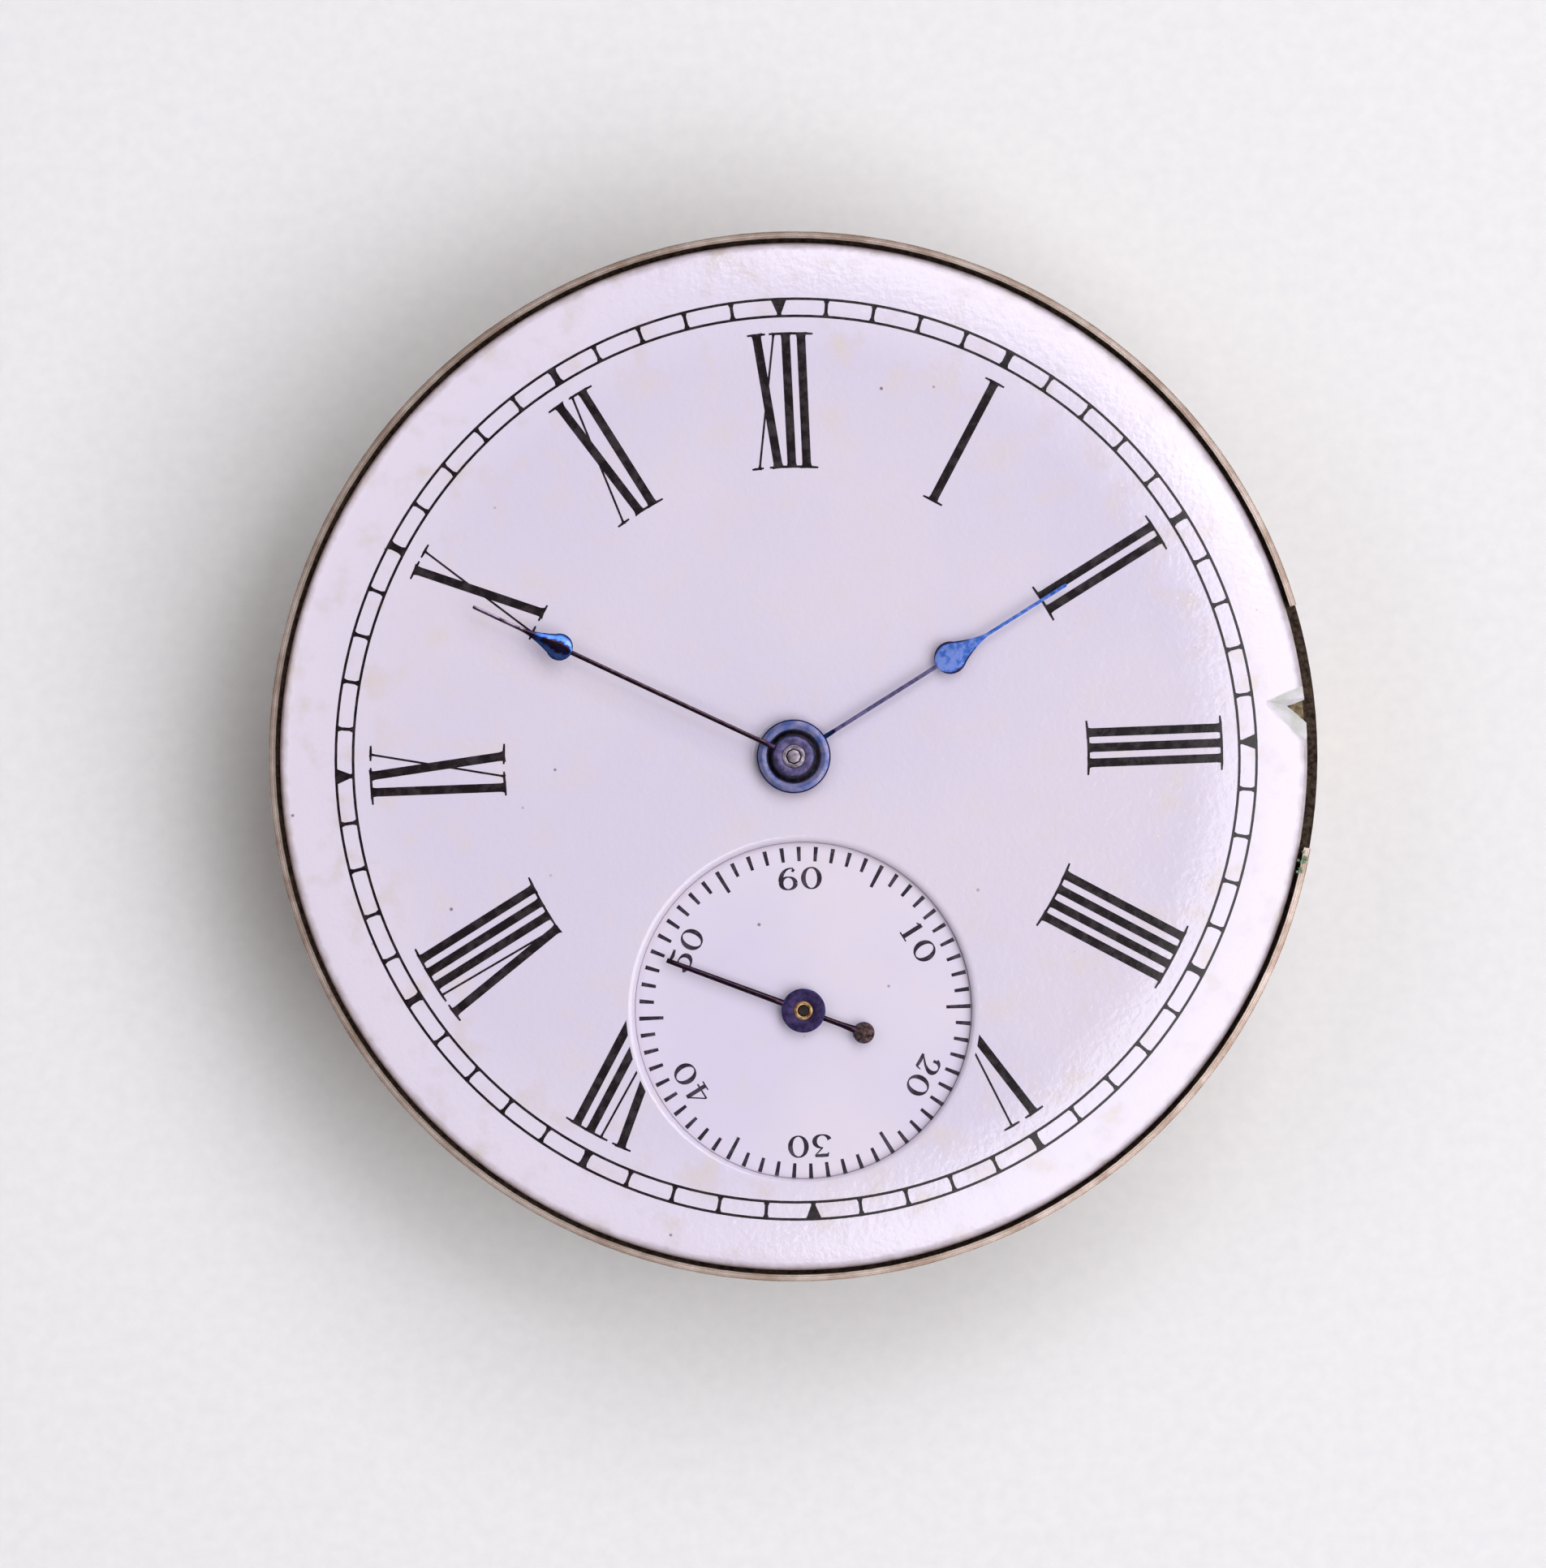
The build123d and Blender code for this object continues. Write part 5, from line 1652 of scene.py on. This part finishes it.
@dataclass
class Blade:
    """A slender hand blade: stations (reach, half width, temper) along its line, crowned across.

    The shifts lower the temper at a broad part's rim and middle as painted shade: a painted dark outline
    round a drop, and a painted dark reflection along a crowned drop's middle.
    """

    name: str
    stations: Sequence[Station]
    top: float
    crown: float
    thickness: float = 0.12
    tilt: float = 0.0
    rim_painted_shade: float = 0.0
    middle_painted_shade: float = 0.0
    rows: int = 20

    def build(self, centre: Point, angle: float) -> Piece:
        """Shapes the blade from a grid, and thickens it downwards.

        Args:
            centre: Its arbor, in mm.
            angle: Where it points, in degrees.

        Returns:
            The blade, with its temper painted on, lowered at a broad part's rim and middle as painted shade.
        """
        left = [(reach, half, 0.0) for reach, half, _ in self.stations]
        right = [(reach, -half, 0.0) for reach, half, _ in self.stations]
        blade = strip(self.name, left, right, self.rows)
        widths = {round(reach, 4): half for reach, half, _ in self.stations}
        for vertex in blade.data.vertices:
            half = max(widths[min(widths, key=lambda reach: abs(reach - vertex.co.x / MM))], 1e-4)
            share = vertex.co.y / MM / half
            fall = self.crown * min(half, 0.5) * share**2 + self.tilt * vertex.co.y / MM
            vertex.co.z = (self.top - fall) * MM
        finish_with(blade, "SOLIDIFY", thickness=self.thickness * MM, offset=-1.0)
        close_up(blade)
        ease_edges(blade, 0.022, 50, segments=2)
        temper = blade.data.attributes.new("temper", "FLOAT", "POINT")
        for vertex in blade.data.vertices:
            half = widths[min(widths, key=lambda reach: abs(reach - vertex.co.x / MM))]
            # Painted shade: a broad part's rim and middle are darkened by lowering their temper
            shift = 0.0
            if half > 0.2:
                share = abs(vertex.co.y / MM) / half
                shift = self.rim_painted_shade if share > 0.87 else self.middle_painted_shade if share < 0.4 else 0.0
            temper.data[vertex.index].value = self.temper_at(vertex.co.x / MM) + shift
        smooth(blade, 40)
        return settle(blade, (*centre, 0), (0, 0, angle))

    def temper_at(self, reach: float) -> float:
        """The temper at a reach, from the stations round it.

        Args:
            reach: The distance from the arbor, in mm.

        Returns:
            The temper.
        """
        for (near, _, start), (far, _, end) in zip(self.stations, self.stations[1:]):
            if near <= reach <= far:
                share = (reach - near) / (far - near) if far > near else 0.0
                return start + (end - start) * share
        return self.stations[-1][2] if reach > self.stations[-1][0] else self.stations[0][2]


def temper(piece: Piece, value: Callable[[Vector], float]) -> Piece:
    """Paints the temper of a blued piece.

    Args:
        piece: The piece.
        value: Takes a point in mm, and gives its temper.

    Returns:
        The same piece.
    """
    layer = piece.data.attributes.new("temper", "FLOAT", "POINT")
    for vertex in piece.data.vertices:
        layer.data[vertex.index].value = value(vertex.co / MM)
    return piece


@dataclass(frozen=True)
class Pear:
    """The outline of a hand with a pear-shaped drop on a thin arm, in mm, and the tempers along it."""

    start: float
    drop: float
    radius: float
    shoulders_end: float
    length: float
    arm: float
    tip: float
    arm_temper: float
    drop_temper: float
    tip_temper: float
    root: float = 0.5
    root_temper: float = 0.5
    point: float = 0.04

    def stations(self) -> list[Station]:
        """Works out the root, the arm, the round of the drop, its hollow shoulders and the tip.

        Returns:
            Stations (reach, half width, temper).
        """
        root = self.start + self.root
        neck = self.drop - math.sqrt(self.radius**2 - self.arm**2)
        stations = [(self.start, self.arm * 1.3, self.root_temper)]
        stations += [(root + (neck - root) * step / 5, self.arm, self.arm_temper) for step in range(6)]
        for step in range(1, 12):
            reach, half = polar(self.radius, 180 - 12 * step, (self.drop, 0.0))
            if half > self.arm:
                temper = self.drop_temper if step > 1 else (self.arm_temper + self.drop_temper) / 2
                stations.append((reach, half, temper))
        shoulder, width = reach, half
        for step in range(1, 9):
            share = step / 8
            half = self.tip + (width - self.tip) * (1 - share) ** 1.65
            temper = self.drop_temper + (self.tip_temper - self.drop_temper) * share**1.5
            stations.append((shoulder + (self.shoulders_end - shoulder) * share, half, temper))
        run = self.length - self.point - self.shoulders_end
        stations += [(self.shoulders_end + run * step / 4, self.tip, self.tip_temper) for step in range(1, 5)]
        stations.append((self.length, self.tip * 0.6, self.tip_temper))
        return stations


@dataclass
class Hands:
    """The three blued hands, and the pipe that shows in the smallest."""

    hour_angle: float = 30.0
    minute_angle: float = 152.8
    seconds_angle: float = 157.6
    hour_base: float = 1.72
    minute_base: float = 2.17
    seconds_base: float = 1.45
    boss_height: float = 0.3
    hour_bore: float = 0.76
    hour_boss: float = 1.22
    hour_well: float = 0.82
    minute_bore: float = 0.385
    minute_boss: float = 0.69
    seconds_height: float = 0.14
    hub_bore: float = 0.325
    hub_radius: float = 0.73
    needle_start: float = 0.65
    needle_reach: float = 4.81
    needle_half: float = 0.105
    needle_taper: float = 0.025
    tail_start: float = 0.6
    tail_reach: float = 1.85
    tail_half: float = 0.085
    tail_flare: float = 0.0025
    disc_reach: float = 2.12
    disc_radius: float = 0.36
    pipe_base: float = 1.3
    pipe_top: float = 1.63
    pipe_bore: float = 0.178
    pipe_radius: float = 0.318
    hour_outline: Pear = Pear(
        start=1.1,
        drop=6.11,
        radius=0.54,
        shoulders_end=7.6,
        length=10.63,
        arm=0.066,
        tip=0.056,
        arm_temper=0.55,
        drop_temper=0.92,
        tip_temper=0.8,
    )
    minute_outline: Pear = Pear(
        start=0.6,
        drop=8.52,
        radius=0.45,
        shoulders_end=9.9,
        length=11.66,
        arm=0.076,
        tip=0.06,
        arm_temper=0.22,
        drop_temper=0.85,
        tip_temper=0.02,
    )

    def build(self) -> None:
        """Builds every hand and dresses it."""
        self.hour_hand()
        self.minute_hand()
        self.seconds_hand()
        self.pipe()

    def hour_hand(self) -> None:
        """The hour hand: a ring boss, a thin arm, and a flat bright drop."""
        stations, top = self.hour_outline.stations(), self.hour_base + 0.18
        # Painted shade: the drop's rim is lowered in temper to a painted dark outline
        blade = Blade("hour_blade", stations, top, crown=0.05, tilt=0.05, rim_painted_shade=-0.55)
        low, high = self.hour_base, self.hour_base + self.boss_height
        bore, edge, well = self.hour_bore, self.hour_boss, self.hour_well
        profile = [
            (bore, low),
            (edge - 0.02, low),
            (edge, low + 0.06),
            (edge, high - 0.06),
            (edge - 0.05, high - 0.015),
            (edge - 0.18, high),
            (well + 0.08, high - 0.015),
            (well + 0.02, high - 0.06),
            (well, high - 0.2),
            (bore, high - 0.2),
        ]
        boss = temper(turn("hour_boss", CENTRE, profile, 0.012), lambda place: 0.5)
        hand = joined("hour_hand_finished", [boss, blade.build(CENTRE, self.hour_angle)])
        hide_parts("hour_hand")
        dressed(hand, BLUE, "hour")
        drop = self.hour_outline.drop - self.hour_outline.radius
        second_finish(hand, BLUE_FLAT, facing_up(drop - 0.07, math.inf, 0.85))
        second_finish(hand, SLATE, facing_up(well + 0.01, edge - 0.03, 0.6))
        second_finish(hand, DULL_SLATE, facing_up(edge + 0.03, drop + 0.03, 0.3))

    def minute_hand(self) -> None:
        """The minute hand: a small boss, a thin arm, and a crowned drop."""
        stations, top = self.minute_outline.stations(), self.minute_base + 0.2
        # Painted shade: the crowned drop's middle and rim are lowered in temper as a painted dark reflection
        blade = Blade("minute_blade", stations, top, crown=0.3, rim_painted_shade=-0.2, middle_painted_shade=-0.5)
        low, high = self.minute_base, self.minute_base + self.boss_height
        bore, edge = self.minute_bore, self.minute_boss
        profile = [
            (bore, low),
            (edge - 0.03, low),
            (edge, low + 0.05),
            (edge, high - 0.08),
            (edge - 0.04, high - 0.02),
            (edge - 0.13, high),
            (bore, high),
        ]
        boss = temper(turn("minute_boss", CENTRE, profile, 0.01), lambda place: 0.5)
        hand = joined("minute_hand_finished", [boss, blade.build(CENTRE, self.minute_angle)])
        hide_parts("minute_hand")
        dressed(hand, BLUE, "cannon")
        second_finish(hand, DULL_SLATE, facing_up(0.0, edge - 0.02, 0.6))

    def needle(self) -> list[Station]:
        """Works out the seconds hand's needle, which tapers and was blued in uneven bands.

        Returns:
            Stations (reach, half width, temper).
        """
        start, run = self.needle_start, self.needle_reach - self.needle_start
        stations = []
        for step in range(9):
            share = step / 8
            half = self.needle_half - self.needle_taper * share
            stations.append((start + run * share, half, 0.3 - 0.03 * (step % 3)))
        return stations

    def tail(self) -> list[Station]:
        """Works out the seconds hand's tail, which is narrowest a third of the way out.

        Returns:
            Stations (reach, half width, temper).
        """
        start, run = self.tail_start, self.tail_reach - self.tail_start
        halves = [self.tail_half + self.tail_flare * (step - 2) ** 2 for step in range(7)]
        return [(start + run * step / 6, half, 0.28) for step, half in enumerate(halves)]

    def seconds_hand(self) -> None:
        """The seconds hand: a flat navy hub, a needle, and a tail with its disc."""
        low, top = self.seconds_base, self.seconds_base + self.seconds_height
        parts = [
            Blade("seconds_needle", self.needle(), top, crown=0.5).build(FOURTH, self.seconds_angle),
            Blade("seconds_tail", self.tail(), top, crown=0.5).build(FOURTH, self.seconds_angle + 180),
        ]
        bore, edge = self.hub_bore, self.hub_radius
        hub = [
            (bore, low),
            (edge - 0.01, low),
            (edge, top - 0.03),
            (edge - 0.01, top - 0.008),
            (edge - 0.03, top),
            (bore, top),
        ]
        parts.append(temper(turn("seconds_hub", FOURTH, hub, 0.006), lambda place: 0.52))
        end, edge = polar(self.disc_reach, self.seconds_angle + 180, FOURTH), self.disc_radius
        disc = [
            (0.0, low),
            (edge - 0.02, low),
            (edge, low + 0.05),
            (edge - 0.03, top - 0.02),
            (edge - 0.16, top),
            (0.0, top),
        ]
        parts.append(temper(turn("seconds_disc", end, disc), lambda place: 0.3 if place.x > end[0] else 0.5))
        hand = joined("seconds_hand_finished", parts)
        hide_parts("seconds_hand")
        dressed(hand, BLUE, "fourth")
        second_finish(hand, NAVY, facing_up(0.0, self.hub_radius - 0.02, 0.6, FOURTH))
        second_finish(hand, BROWNED, facing_up(0.0, self.disc_radius - 0.02, 0.6, end))

    def pipe(self) -> None:
        """The brass pipe in the seconds hand's hub."""
        low, high, bore, edge = self.pipe_base, self.pipe_top, self.pipe_bore, self.pipe_radius
        profile = [
            (bore, low),
            (edge, low),
            (edge, high - 0.03),
            (edge - 0.038, high),
            (bore + 0.022, high),
            (bore, high - 0.03),
        ]
        pipe = turn("seconds_pipe_finished", FOURTH, profile, 0.004)
        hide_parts("seconds_pipe")
        dressed(pipe, PIPE_BRASS, "fourth")


# The plates


@dataclass
class Plates:
    """The pillar plate with its lip, the top plate, pillars and bearings."""

    pillar_radius: float = 1.0
    pillar_bore: float = 0.455
    pillar_ease: float = 0.05
    top_inner: float = -3.95
    lip_inner: float = 16.96
    crumbs: int = 9

    def build(self) -> None:
        """Dresses the plates and what holds them."""
        plate = refined("pillar_plate", 0.06)
        dressed(plate, GILT, "movement")
        lip = self.lip_inner
        second_finish(plate, LIP_METAL, lambda place, normal: place.xy.length > lip and place.z > -0.02)
        # The seat's dark brown is partly painted shade in the gap round the dial and on the bare ledge
        second_finish(plate, SHADED_SEAT, lambda place, normal: abs(place.z - PLATE_FACE) < 0.02 and normal.z > 0.5)
        dressed(refined("top_plate", 0.05), NICKEL, "movement")
        dressed(refined("stem_bearings", 0.03), GILT, "movement")
        self.pillars()
        self.verdigris()

    def pillars(self) -> None:
        """Turns one pillar with an eased edge at both ends, and copies it to the four places."""
        bore, wide, ease = self.pillar_bore, self.pillar_radius, self.pillar_ease
        low, high = self.top_inner, PLATE_INNER
        profile = [
            (bore, low),
            (wide - ease, low),
            (wide, low + ease),
            (wide, high - ease),
            (wide - ease, high),
            (bore, high),
        ]
        pillar = turn("pillar", CENTRE, profile, steps=64)
        places = [(*polar(PILLAR_CIRCLE, angle), 0.0) for angle in PILLAR_ANGLES]
        pillars = joined("pillars", [settle(twin(pillar, "pillar_copy"), place) for place in places])
        bpy.data.objects.remove(pillar)
        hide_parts("plate_pillars")
        dressed(pillars, GILT, "movement")

    def verdigris(self) -> None:
        """A few green crumbs at the lip's end below three."""
        chance = random.Random(11)
        crumbs = []
        for index in range(self.crumbs):
            bpy.ops.object.select_all(action="DESELECT")
            bpy.ops.mesh.primitive_ico_sphere_add(subdivisions=3, radius=MM * chance.uniform(0.04, 0.09))
            crumb = bpy.context.object
            for vertex in crumb.data.vertices:
                x, y, _ = vertex.co / MM
                vertex.co *= 1 + 0.35 * math.sin(108 * x + index) * math.cos(63 * y)
            place = polar(chance.uniform(17.02, 17.24), chance.uniform(-15.2, -12.6))
            settle(crumb, (*place, chance.uniform(1.28, 1.36)), (0, 0, 40 * index))
            crumbs.append(crumb)
        crust = joined("verdigris_crumbs", crumbs)
        smooth(crust, 80)
        dressed(crust, VERDIGRIS, "movement")


# Everything under the dial


@dataclass(frozen=True)
class Dress:
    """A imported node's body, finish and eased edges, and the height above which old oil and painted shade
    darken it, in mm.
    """

    node: str
    body: str
    finish: Finish
    bevel: float = 0.02
    oily_and_shaded_above: float | None = None


DRESSES = (
    Dress("dial_foot_screws", "movement", STEEL),
    Dress("cannon_pinion", "cannon", OLD_STEEL, 0.01),
    Dress("minute_wheel", "minute", BRASS, 0.015),
    Dress("minute_pinion", "minute", STEEL, 0.01),
    Dress("minute_wheel_stud", "movement", STEEL),
    # Darkened above 1.2 mm: painted shade on the pipe's top in the hour hand's well, with old oil
    Dress("hour_wheel", "hour", BRASS, 0.012, 1.2),
    Dress("dial_washer", "movement", BRASS, 0.01),
    Dress("barrel_drum", "barrel", BRASS, 0.03),
    Dress("barrel_cover", "barrel", BRASS, 0.02),
    Dress("barrel_arbor", "winding_arbor", STEEL),
    Dress("mainspring", "movement", SPRING, 0.015),
    Dress("centre_wheel", "centre", BRASS, 0.015),
    Dress("centre_arbor", "centre", OLD_STEEL, 0.01),
    Dress("third_wheel", "third", BRASS, 0.015),
    Dress("third_arbor", "third", STEEL, 0.01),
    Dress("fourth_wheel", "fourth", BRASS, 0.015),
    # Darkened above 0.6 mm: painted shade on the arbor in the seconds bit's hole, with old oil
    Dress("fourth_arbor", "fourth", STEEL, 0.01, 0.6),
    Dress("escape_wheel", "escape", BRASS, 0.012),
    Dress("escape_arbor", "escape", STEEL, 0.01),
    Dress("pallet_lever", "pallets", STEEL, 0.015),
    Dress("pallet_stones", "pallets", STONE, 0.015),
    Dress("pallet_arbor", "pallets", STEEL),
    Dress("escapement_bridge", "movement", NICKEL, 0.04),
    Dress("balance_wheel", "balance", BALANCE_BRASS, 0.03),
    Dress("balance_screws", "balance", BALANCE_BRASS, 0.02),
    Dress("balance_staff", "balance", STEEL),
    Dress("roller", "balance", STEEL),
    Dress("impulse_pin", "balance", STONE, 0.01),
    Dress("collet", "balance", BRASS),
    Dress("hairspring_stud", "movement", STEEL),
    Dress("balance_cock", "movement", NICKEL, 0.05),
    Dress("regulator", "regulator", STEEL, 0.02),
    Dress("balance_jewels", "movement", STONE, 0.02),
    Dress("ratchet_wheel", "winding_arbor", SUNRAY, 0.02),
    Dress("crown_wheel", "crown", SUNRAY_CROWN, 0.02),
    Dress("winding_pinion", "stem_pinion", STEEL, 0.015),
    Dress("click", "click", STEEL, 0.02),
    Dress("click_spring", "movement", STEEL, 0.01),
)


@dataclass(frozen=True)
class Screw:
    """A slotted screw whose head looks away from the dial; seat is the height that its head bears on."""

    place: Point
    seat: float
    shank: float = 0.45
    head: float = 0.85
    length: float = 1.6
    slot_angle: float = 0.0
    head_height: float = 0.3
    slot_width: float = 0.16
    slot_depth: float = 0.12

    def build(self) -> Piece:
        """Turns the screw, and cuts its slot.

        Returns:
            The screw.
        """
        outer, end = self.seat - self.head_height, self.seat + self.length
        profile = [
            (0.0, end),
            (self.shank - 0.05, end),
            (self.shank, end - 0.05),
            (self.shank, self.seat),
            (self.head, self.seat),
            (self.head, outer + 0.09),
            (self.head - 0.02, outer + 0.04),
            (self.head - 0.08, outer + 0.008),
            (self.head - 0.2, outer),
            (0.0, outer),
        ]
        screw = turn("screw", self.place, profile, steps=64)
        bpy.ops.object.select_all(action="DESELECT")
        bpy.ops.mesh.primitive_cube_add(size=MM)
        slot = bpy.context.object
        for vertex in slot.data.vertices:
            x, y, z = vertex.co
            vertex.co = (x * 2.4 * self.head, y * self.slot_width, z * 2.0 * self.slot_depth)
        cut(screw, settle(slot, (*self.place, outer), (0, 0, self.slot_angle)))
        ease_edges(screw, 0.02, 60, segments=1)
        smooth(screw)
        return screw


@dataclass
class Fittings:
    """Screws, the hairspring and the balance's cap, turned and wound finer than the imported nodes."""

    coils: int = 10
    laps: int = 40
    spring_inner: float = 0.61
    spring_knee: float = 1.99
    spring_outer: float = 2.45
    spring_top: float = -4.8
    spring_height: float = 0.15
    spring_half: float = 0.022
    cap_height: float = 0.16
    setting_bore: float = 0.405
    setting_radius: float = 0.7
    jewel_radius: float = 0.4
    core_radius: float = 1.2
    core_head: float = 1.5
    core_base: float = -4.7
    core_seat: float = -5.57
    core_end: float = -5.82

    def build(self) -> None:
        """Builds each fitting in place of its node."""
        screws = [Screw(polar(PILLAR_CIRCLE, angle), TOP_OUTER, slot_angle=angle) for angle in PILLAR_ANGLES]
        screws.append(Screw(COCK_FOOT, COCK_BASE + Screw.head_height, slot_angle=25))
        screws.append(Screw(BRIDGE_FOOT, BRIDGE_BASE, slot_angle=70))
        self.fit("plate_screws", [screw.build() for screw in screws], STEEL, "movement")
        ratchet = Screw(BARREL, BARREL_SEAT, shank=0.3, length=0.35, slot_angle=30.0)
        self.fit("ratchet_screw", [ratchet.build()], STEEL, "winding_arbor")
        click = Screw(CLICK, CLICK_SEAT, shank=0.3, head=0.6, slot_angle=15.0)
        self.fit("click_screw", [click.build()], STEEL, "movement")
        self.balance_cap()
        self.crown_core()
        self.fit("hairspring", [self.spring()], SPRING, "movement")

    def balance_cap(self) -> None:
        """The cap jewel over the balance staff, in its brass ring."""
        base, low = COCK_BASE, COCK_BASE - self.cap_height
        bore, edge = self.setting_bore, self.setting_radius
        ring = [
            (bore, base),
            (edge, base),
            (edge, low + 0.06),
            (edge - 0.08, low),
            (bore + 0.065, low),
            (bore, low + 0.05),
        ]
        self.fit("cap_setting", [turn("cap_ring", BALANCE, ring, 0.01)], BRASS, "movement")
        edge = self.jewel_radius
        stone = [
            (0.0, base),
            (edge, base),
            (edge, low + 0.1),
            (edge - 0.1, low + 0.03),
            (0.35 * edge, low),
            (0.0, low),
        ]
        self.fit("cap_jewel", [turn("cap_stone", BALANCE, stone, steps=64)], STONE, "movement")

    def crown_core(self) -> None:
        """The stepped core that the crown wheel turns on."""
        core, head, seat, end = self.core_radius, self.core_head, self.core_seat, self.core_end
        profile = [
            (0.0, self.core_base),
            (core, self.core_base),
            (core, seat),
            (head, seat),
            (head, end + 0.07),
            (head - 0.07, end),
            (0.0, end),
        ]
        self.fit("crown_core", [turn("crown_cap", CROWN, profile, 0.01)], STEEL, "movement")

    def fit(self, node: str, parts: Sequence[Piece], finish: Finish, body: str) -> None:
        """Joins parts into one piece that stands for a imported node.

        Args:
            node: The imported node.
            parts: What takes its place.
            finish: Their finish.
            body: The body that they ride on.
        """
        piece = joined(f"{node}_finished", parts)
        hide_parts(node)
        dressed(piece, finish, body)

    def spring(self) -> Piece:
        """Winds the flat hairspring: even coils, the last one standing off towards its stud.

        Returns:
            The spring.
        """
        left, right = [], []
        even = self.coils - 1
        pitch = (self.spring_knee - self.spring_inner) / even
        for step in range(self.coils * self.laps + 1):
            lap = step / self.laps
            last = (self.spring_outer - self.spring_knee) * max(0.0, lap - even)
            radius = self.spring_inner + pitch * min(lap, even) + last
            for side, rail in ((self.spring_half, left), (-self.spring_half, right)):
                rail.append((*polar(radius + side, COCK_ANGLE + 360.0 * lap), self.spring_top))
        spring = strip("hairspring_coils", left, right)
        finish_with(spring, "SOLIDIFY", thickness=self.spring_height * MM, offset=-1.0)
        close_up(spring)
        even_normals(spring)
        smooth(spring, 40)
        return settle(spring, (*BALANCE, 0))


@dataclass
class Works:
    """The train, the escapement, the balance and the winding work."""

    def build(self) -> None:
        """Refines every node of the works and dresses it."""
        for dress in DRESSES:
            piece = dressed(refined(dress.node, dress.bevel), dress.finish, dress.body)
            # Above that height the piece is darkened: dried oil, and painted shade in the holes round the
            # hands' pipes
            if dress.oily_and_shaded_above is not None:
                second_finish(piece, OIL_AND_SHADE, lambda place, normal: place.z > dress.oily_and_shaded_above)


# The stage


@dataclass(frozen=True)
class Lamp:
    """A square softbox: its direction from the dial, size in metres and power in watts."""

    name: str
    azimuth: float
    elevation: float
    distance: float
    size: float
    power: float


# A broad light from the right that whitens the dial's edge, the key from the upper right, and a weak fill
LAMPS = (
    Lamp("edge_softbox", azimuth=-25.0, elevation=57.0, distance=0.5, size=0.44, power=1.9),
    Lamp("key_softbox", azimuth=58.0, elevation=54.0, distance=0.5, size=0.3, power=0.95),
    Lamp("fill_softbox", azimuth=160.0, elevation=50.0, distance=0.6, size=0.3, power=0.35),
)


@dataclass
class Stage:
    """Floor, lamps, sky and camera."""

    floor: float = -6.01
    middle: Point = (-0.7179, -0.8843)
    view_height: float = 300.0
    frame_height: float = 51.78
    tilt: float = 2.2
    sensor: float = 36.0
    paper_size: float = 1.6
    sky_heights: Point = (0.6, 0.95)
    sky_strengths: Point = (0.3, 0.14)

    def build(self) -> None:
        """Sets the stage."""
        self.paper()
        for lamp in LAMPS:
            self.lamp(lamp)
        self.sky()
        self.camera()

    def paper(self) -> None:
        """Lays the paper."""
        bpy.ops.object.select_all(action="DESELECT")
        bpy.ops.mesh.primitive_plane_add(size=self.paper_size, location=(0, 0, self.floor * MM))
        sheet = bpy.context.object
        sheet.name = "paper_sheet"
        sheet.data.materials.append(PAPER.material())

    def lamp(self, lamp: Lamp) -> None:
        """Hangs one softbox, turned to the dial.

        Args:
            lamp: What and where it is.
        """
        light = bpy.data.lights.new(lamp.name, "AREA")
        light.shape = "SQUARE"
        light.size = lamp.size
        light.energy = lamp.power
        flat = math.cos(math.radians(lamp.elevation))
        direction = Vector((*polar(flat, lamp.azimuth), math.sin(math.radians(lamp.elevation))))
        holder = bpy.data.objects.new(lamp.name, light)
        holder.location = direction * lamp.distance
        holder.rotation_euler = direction.to_track_quat("Z", "Y").to_euler()
        bpy.context.scene.collection.objects.link(holder)

    def sky(self) -> None:
        """An even soft light, dimmer overhead so that flat steel stays dark."""
        world = bpy.data.worlds.new("studio")
        bpy.context.scene.world = world
        world.use_nodes = True
        tree = world.node_tree
        tree.nodes.clear()
        direction = add_node(tree, "TexCoord", output="Generated")
        height = add_node(tree, "SeparateXYZ", (direction,), "Z")
        strength = add_node(tree, "MapRange", (height, *self.sky_heights, *self.sky_strengths))
        glow = add_node(tree, "Background", {"Color": "#FFFFFF", "Strength": strength})
        add_node(tree, "OutputWorld", {"Surface": glow})
        bpy.context.scene.view_settings.view_transform = "Standard"

    def camera(self) -> None:
        """Sets the camera straight above the dial, turned as in the photograph."""
        lens = bpy.data.cameras.new("camera")
        lens.sensor_width = self.sensor
        lens.lens = self.sensor * self.view_height / self.frame_height
        lens.clip_start = 0.01
        holder = bpy.data.objects.new("camera", lens)
        holder.location = (self.middle[0] * MM, self.middle[1] * MM, (self.view_height + DIAL_FRONT) * MM)
        holder.rotation_euler = (0, 0, math.radians(-self.tilt))
        bpy.context.scene.collection.objects.link(holder)
        bpy.context.scene.camera = holder


def main() -> None:
    logging.basicConfig(level=logging.INFO, format="%(message)s")
    for assembly in (Dial(), Printing(), Hands(), Plates(), Works(), Fittings(), Stage()):
        log.info("-- %s", type(assembly).__name__)
        assembly.build()


if __name__ == "__main__":
    main()
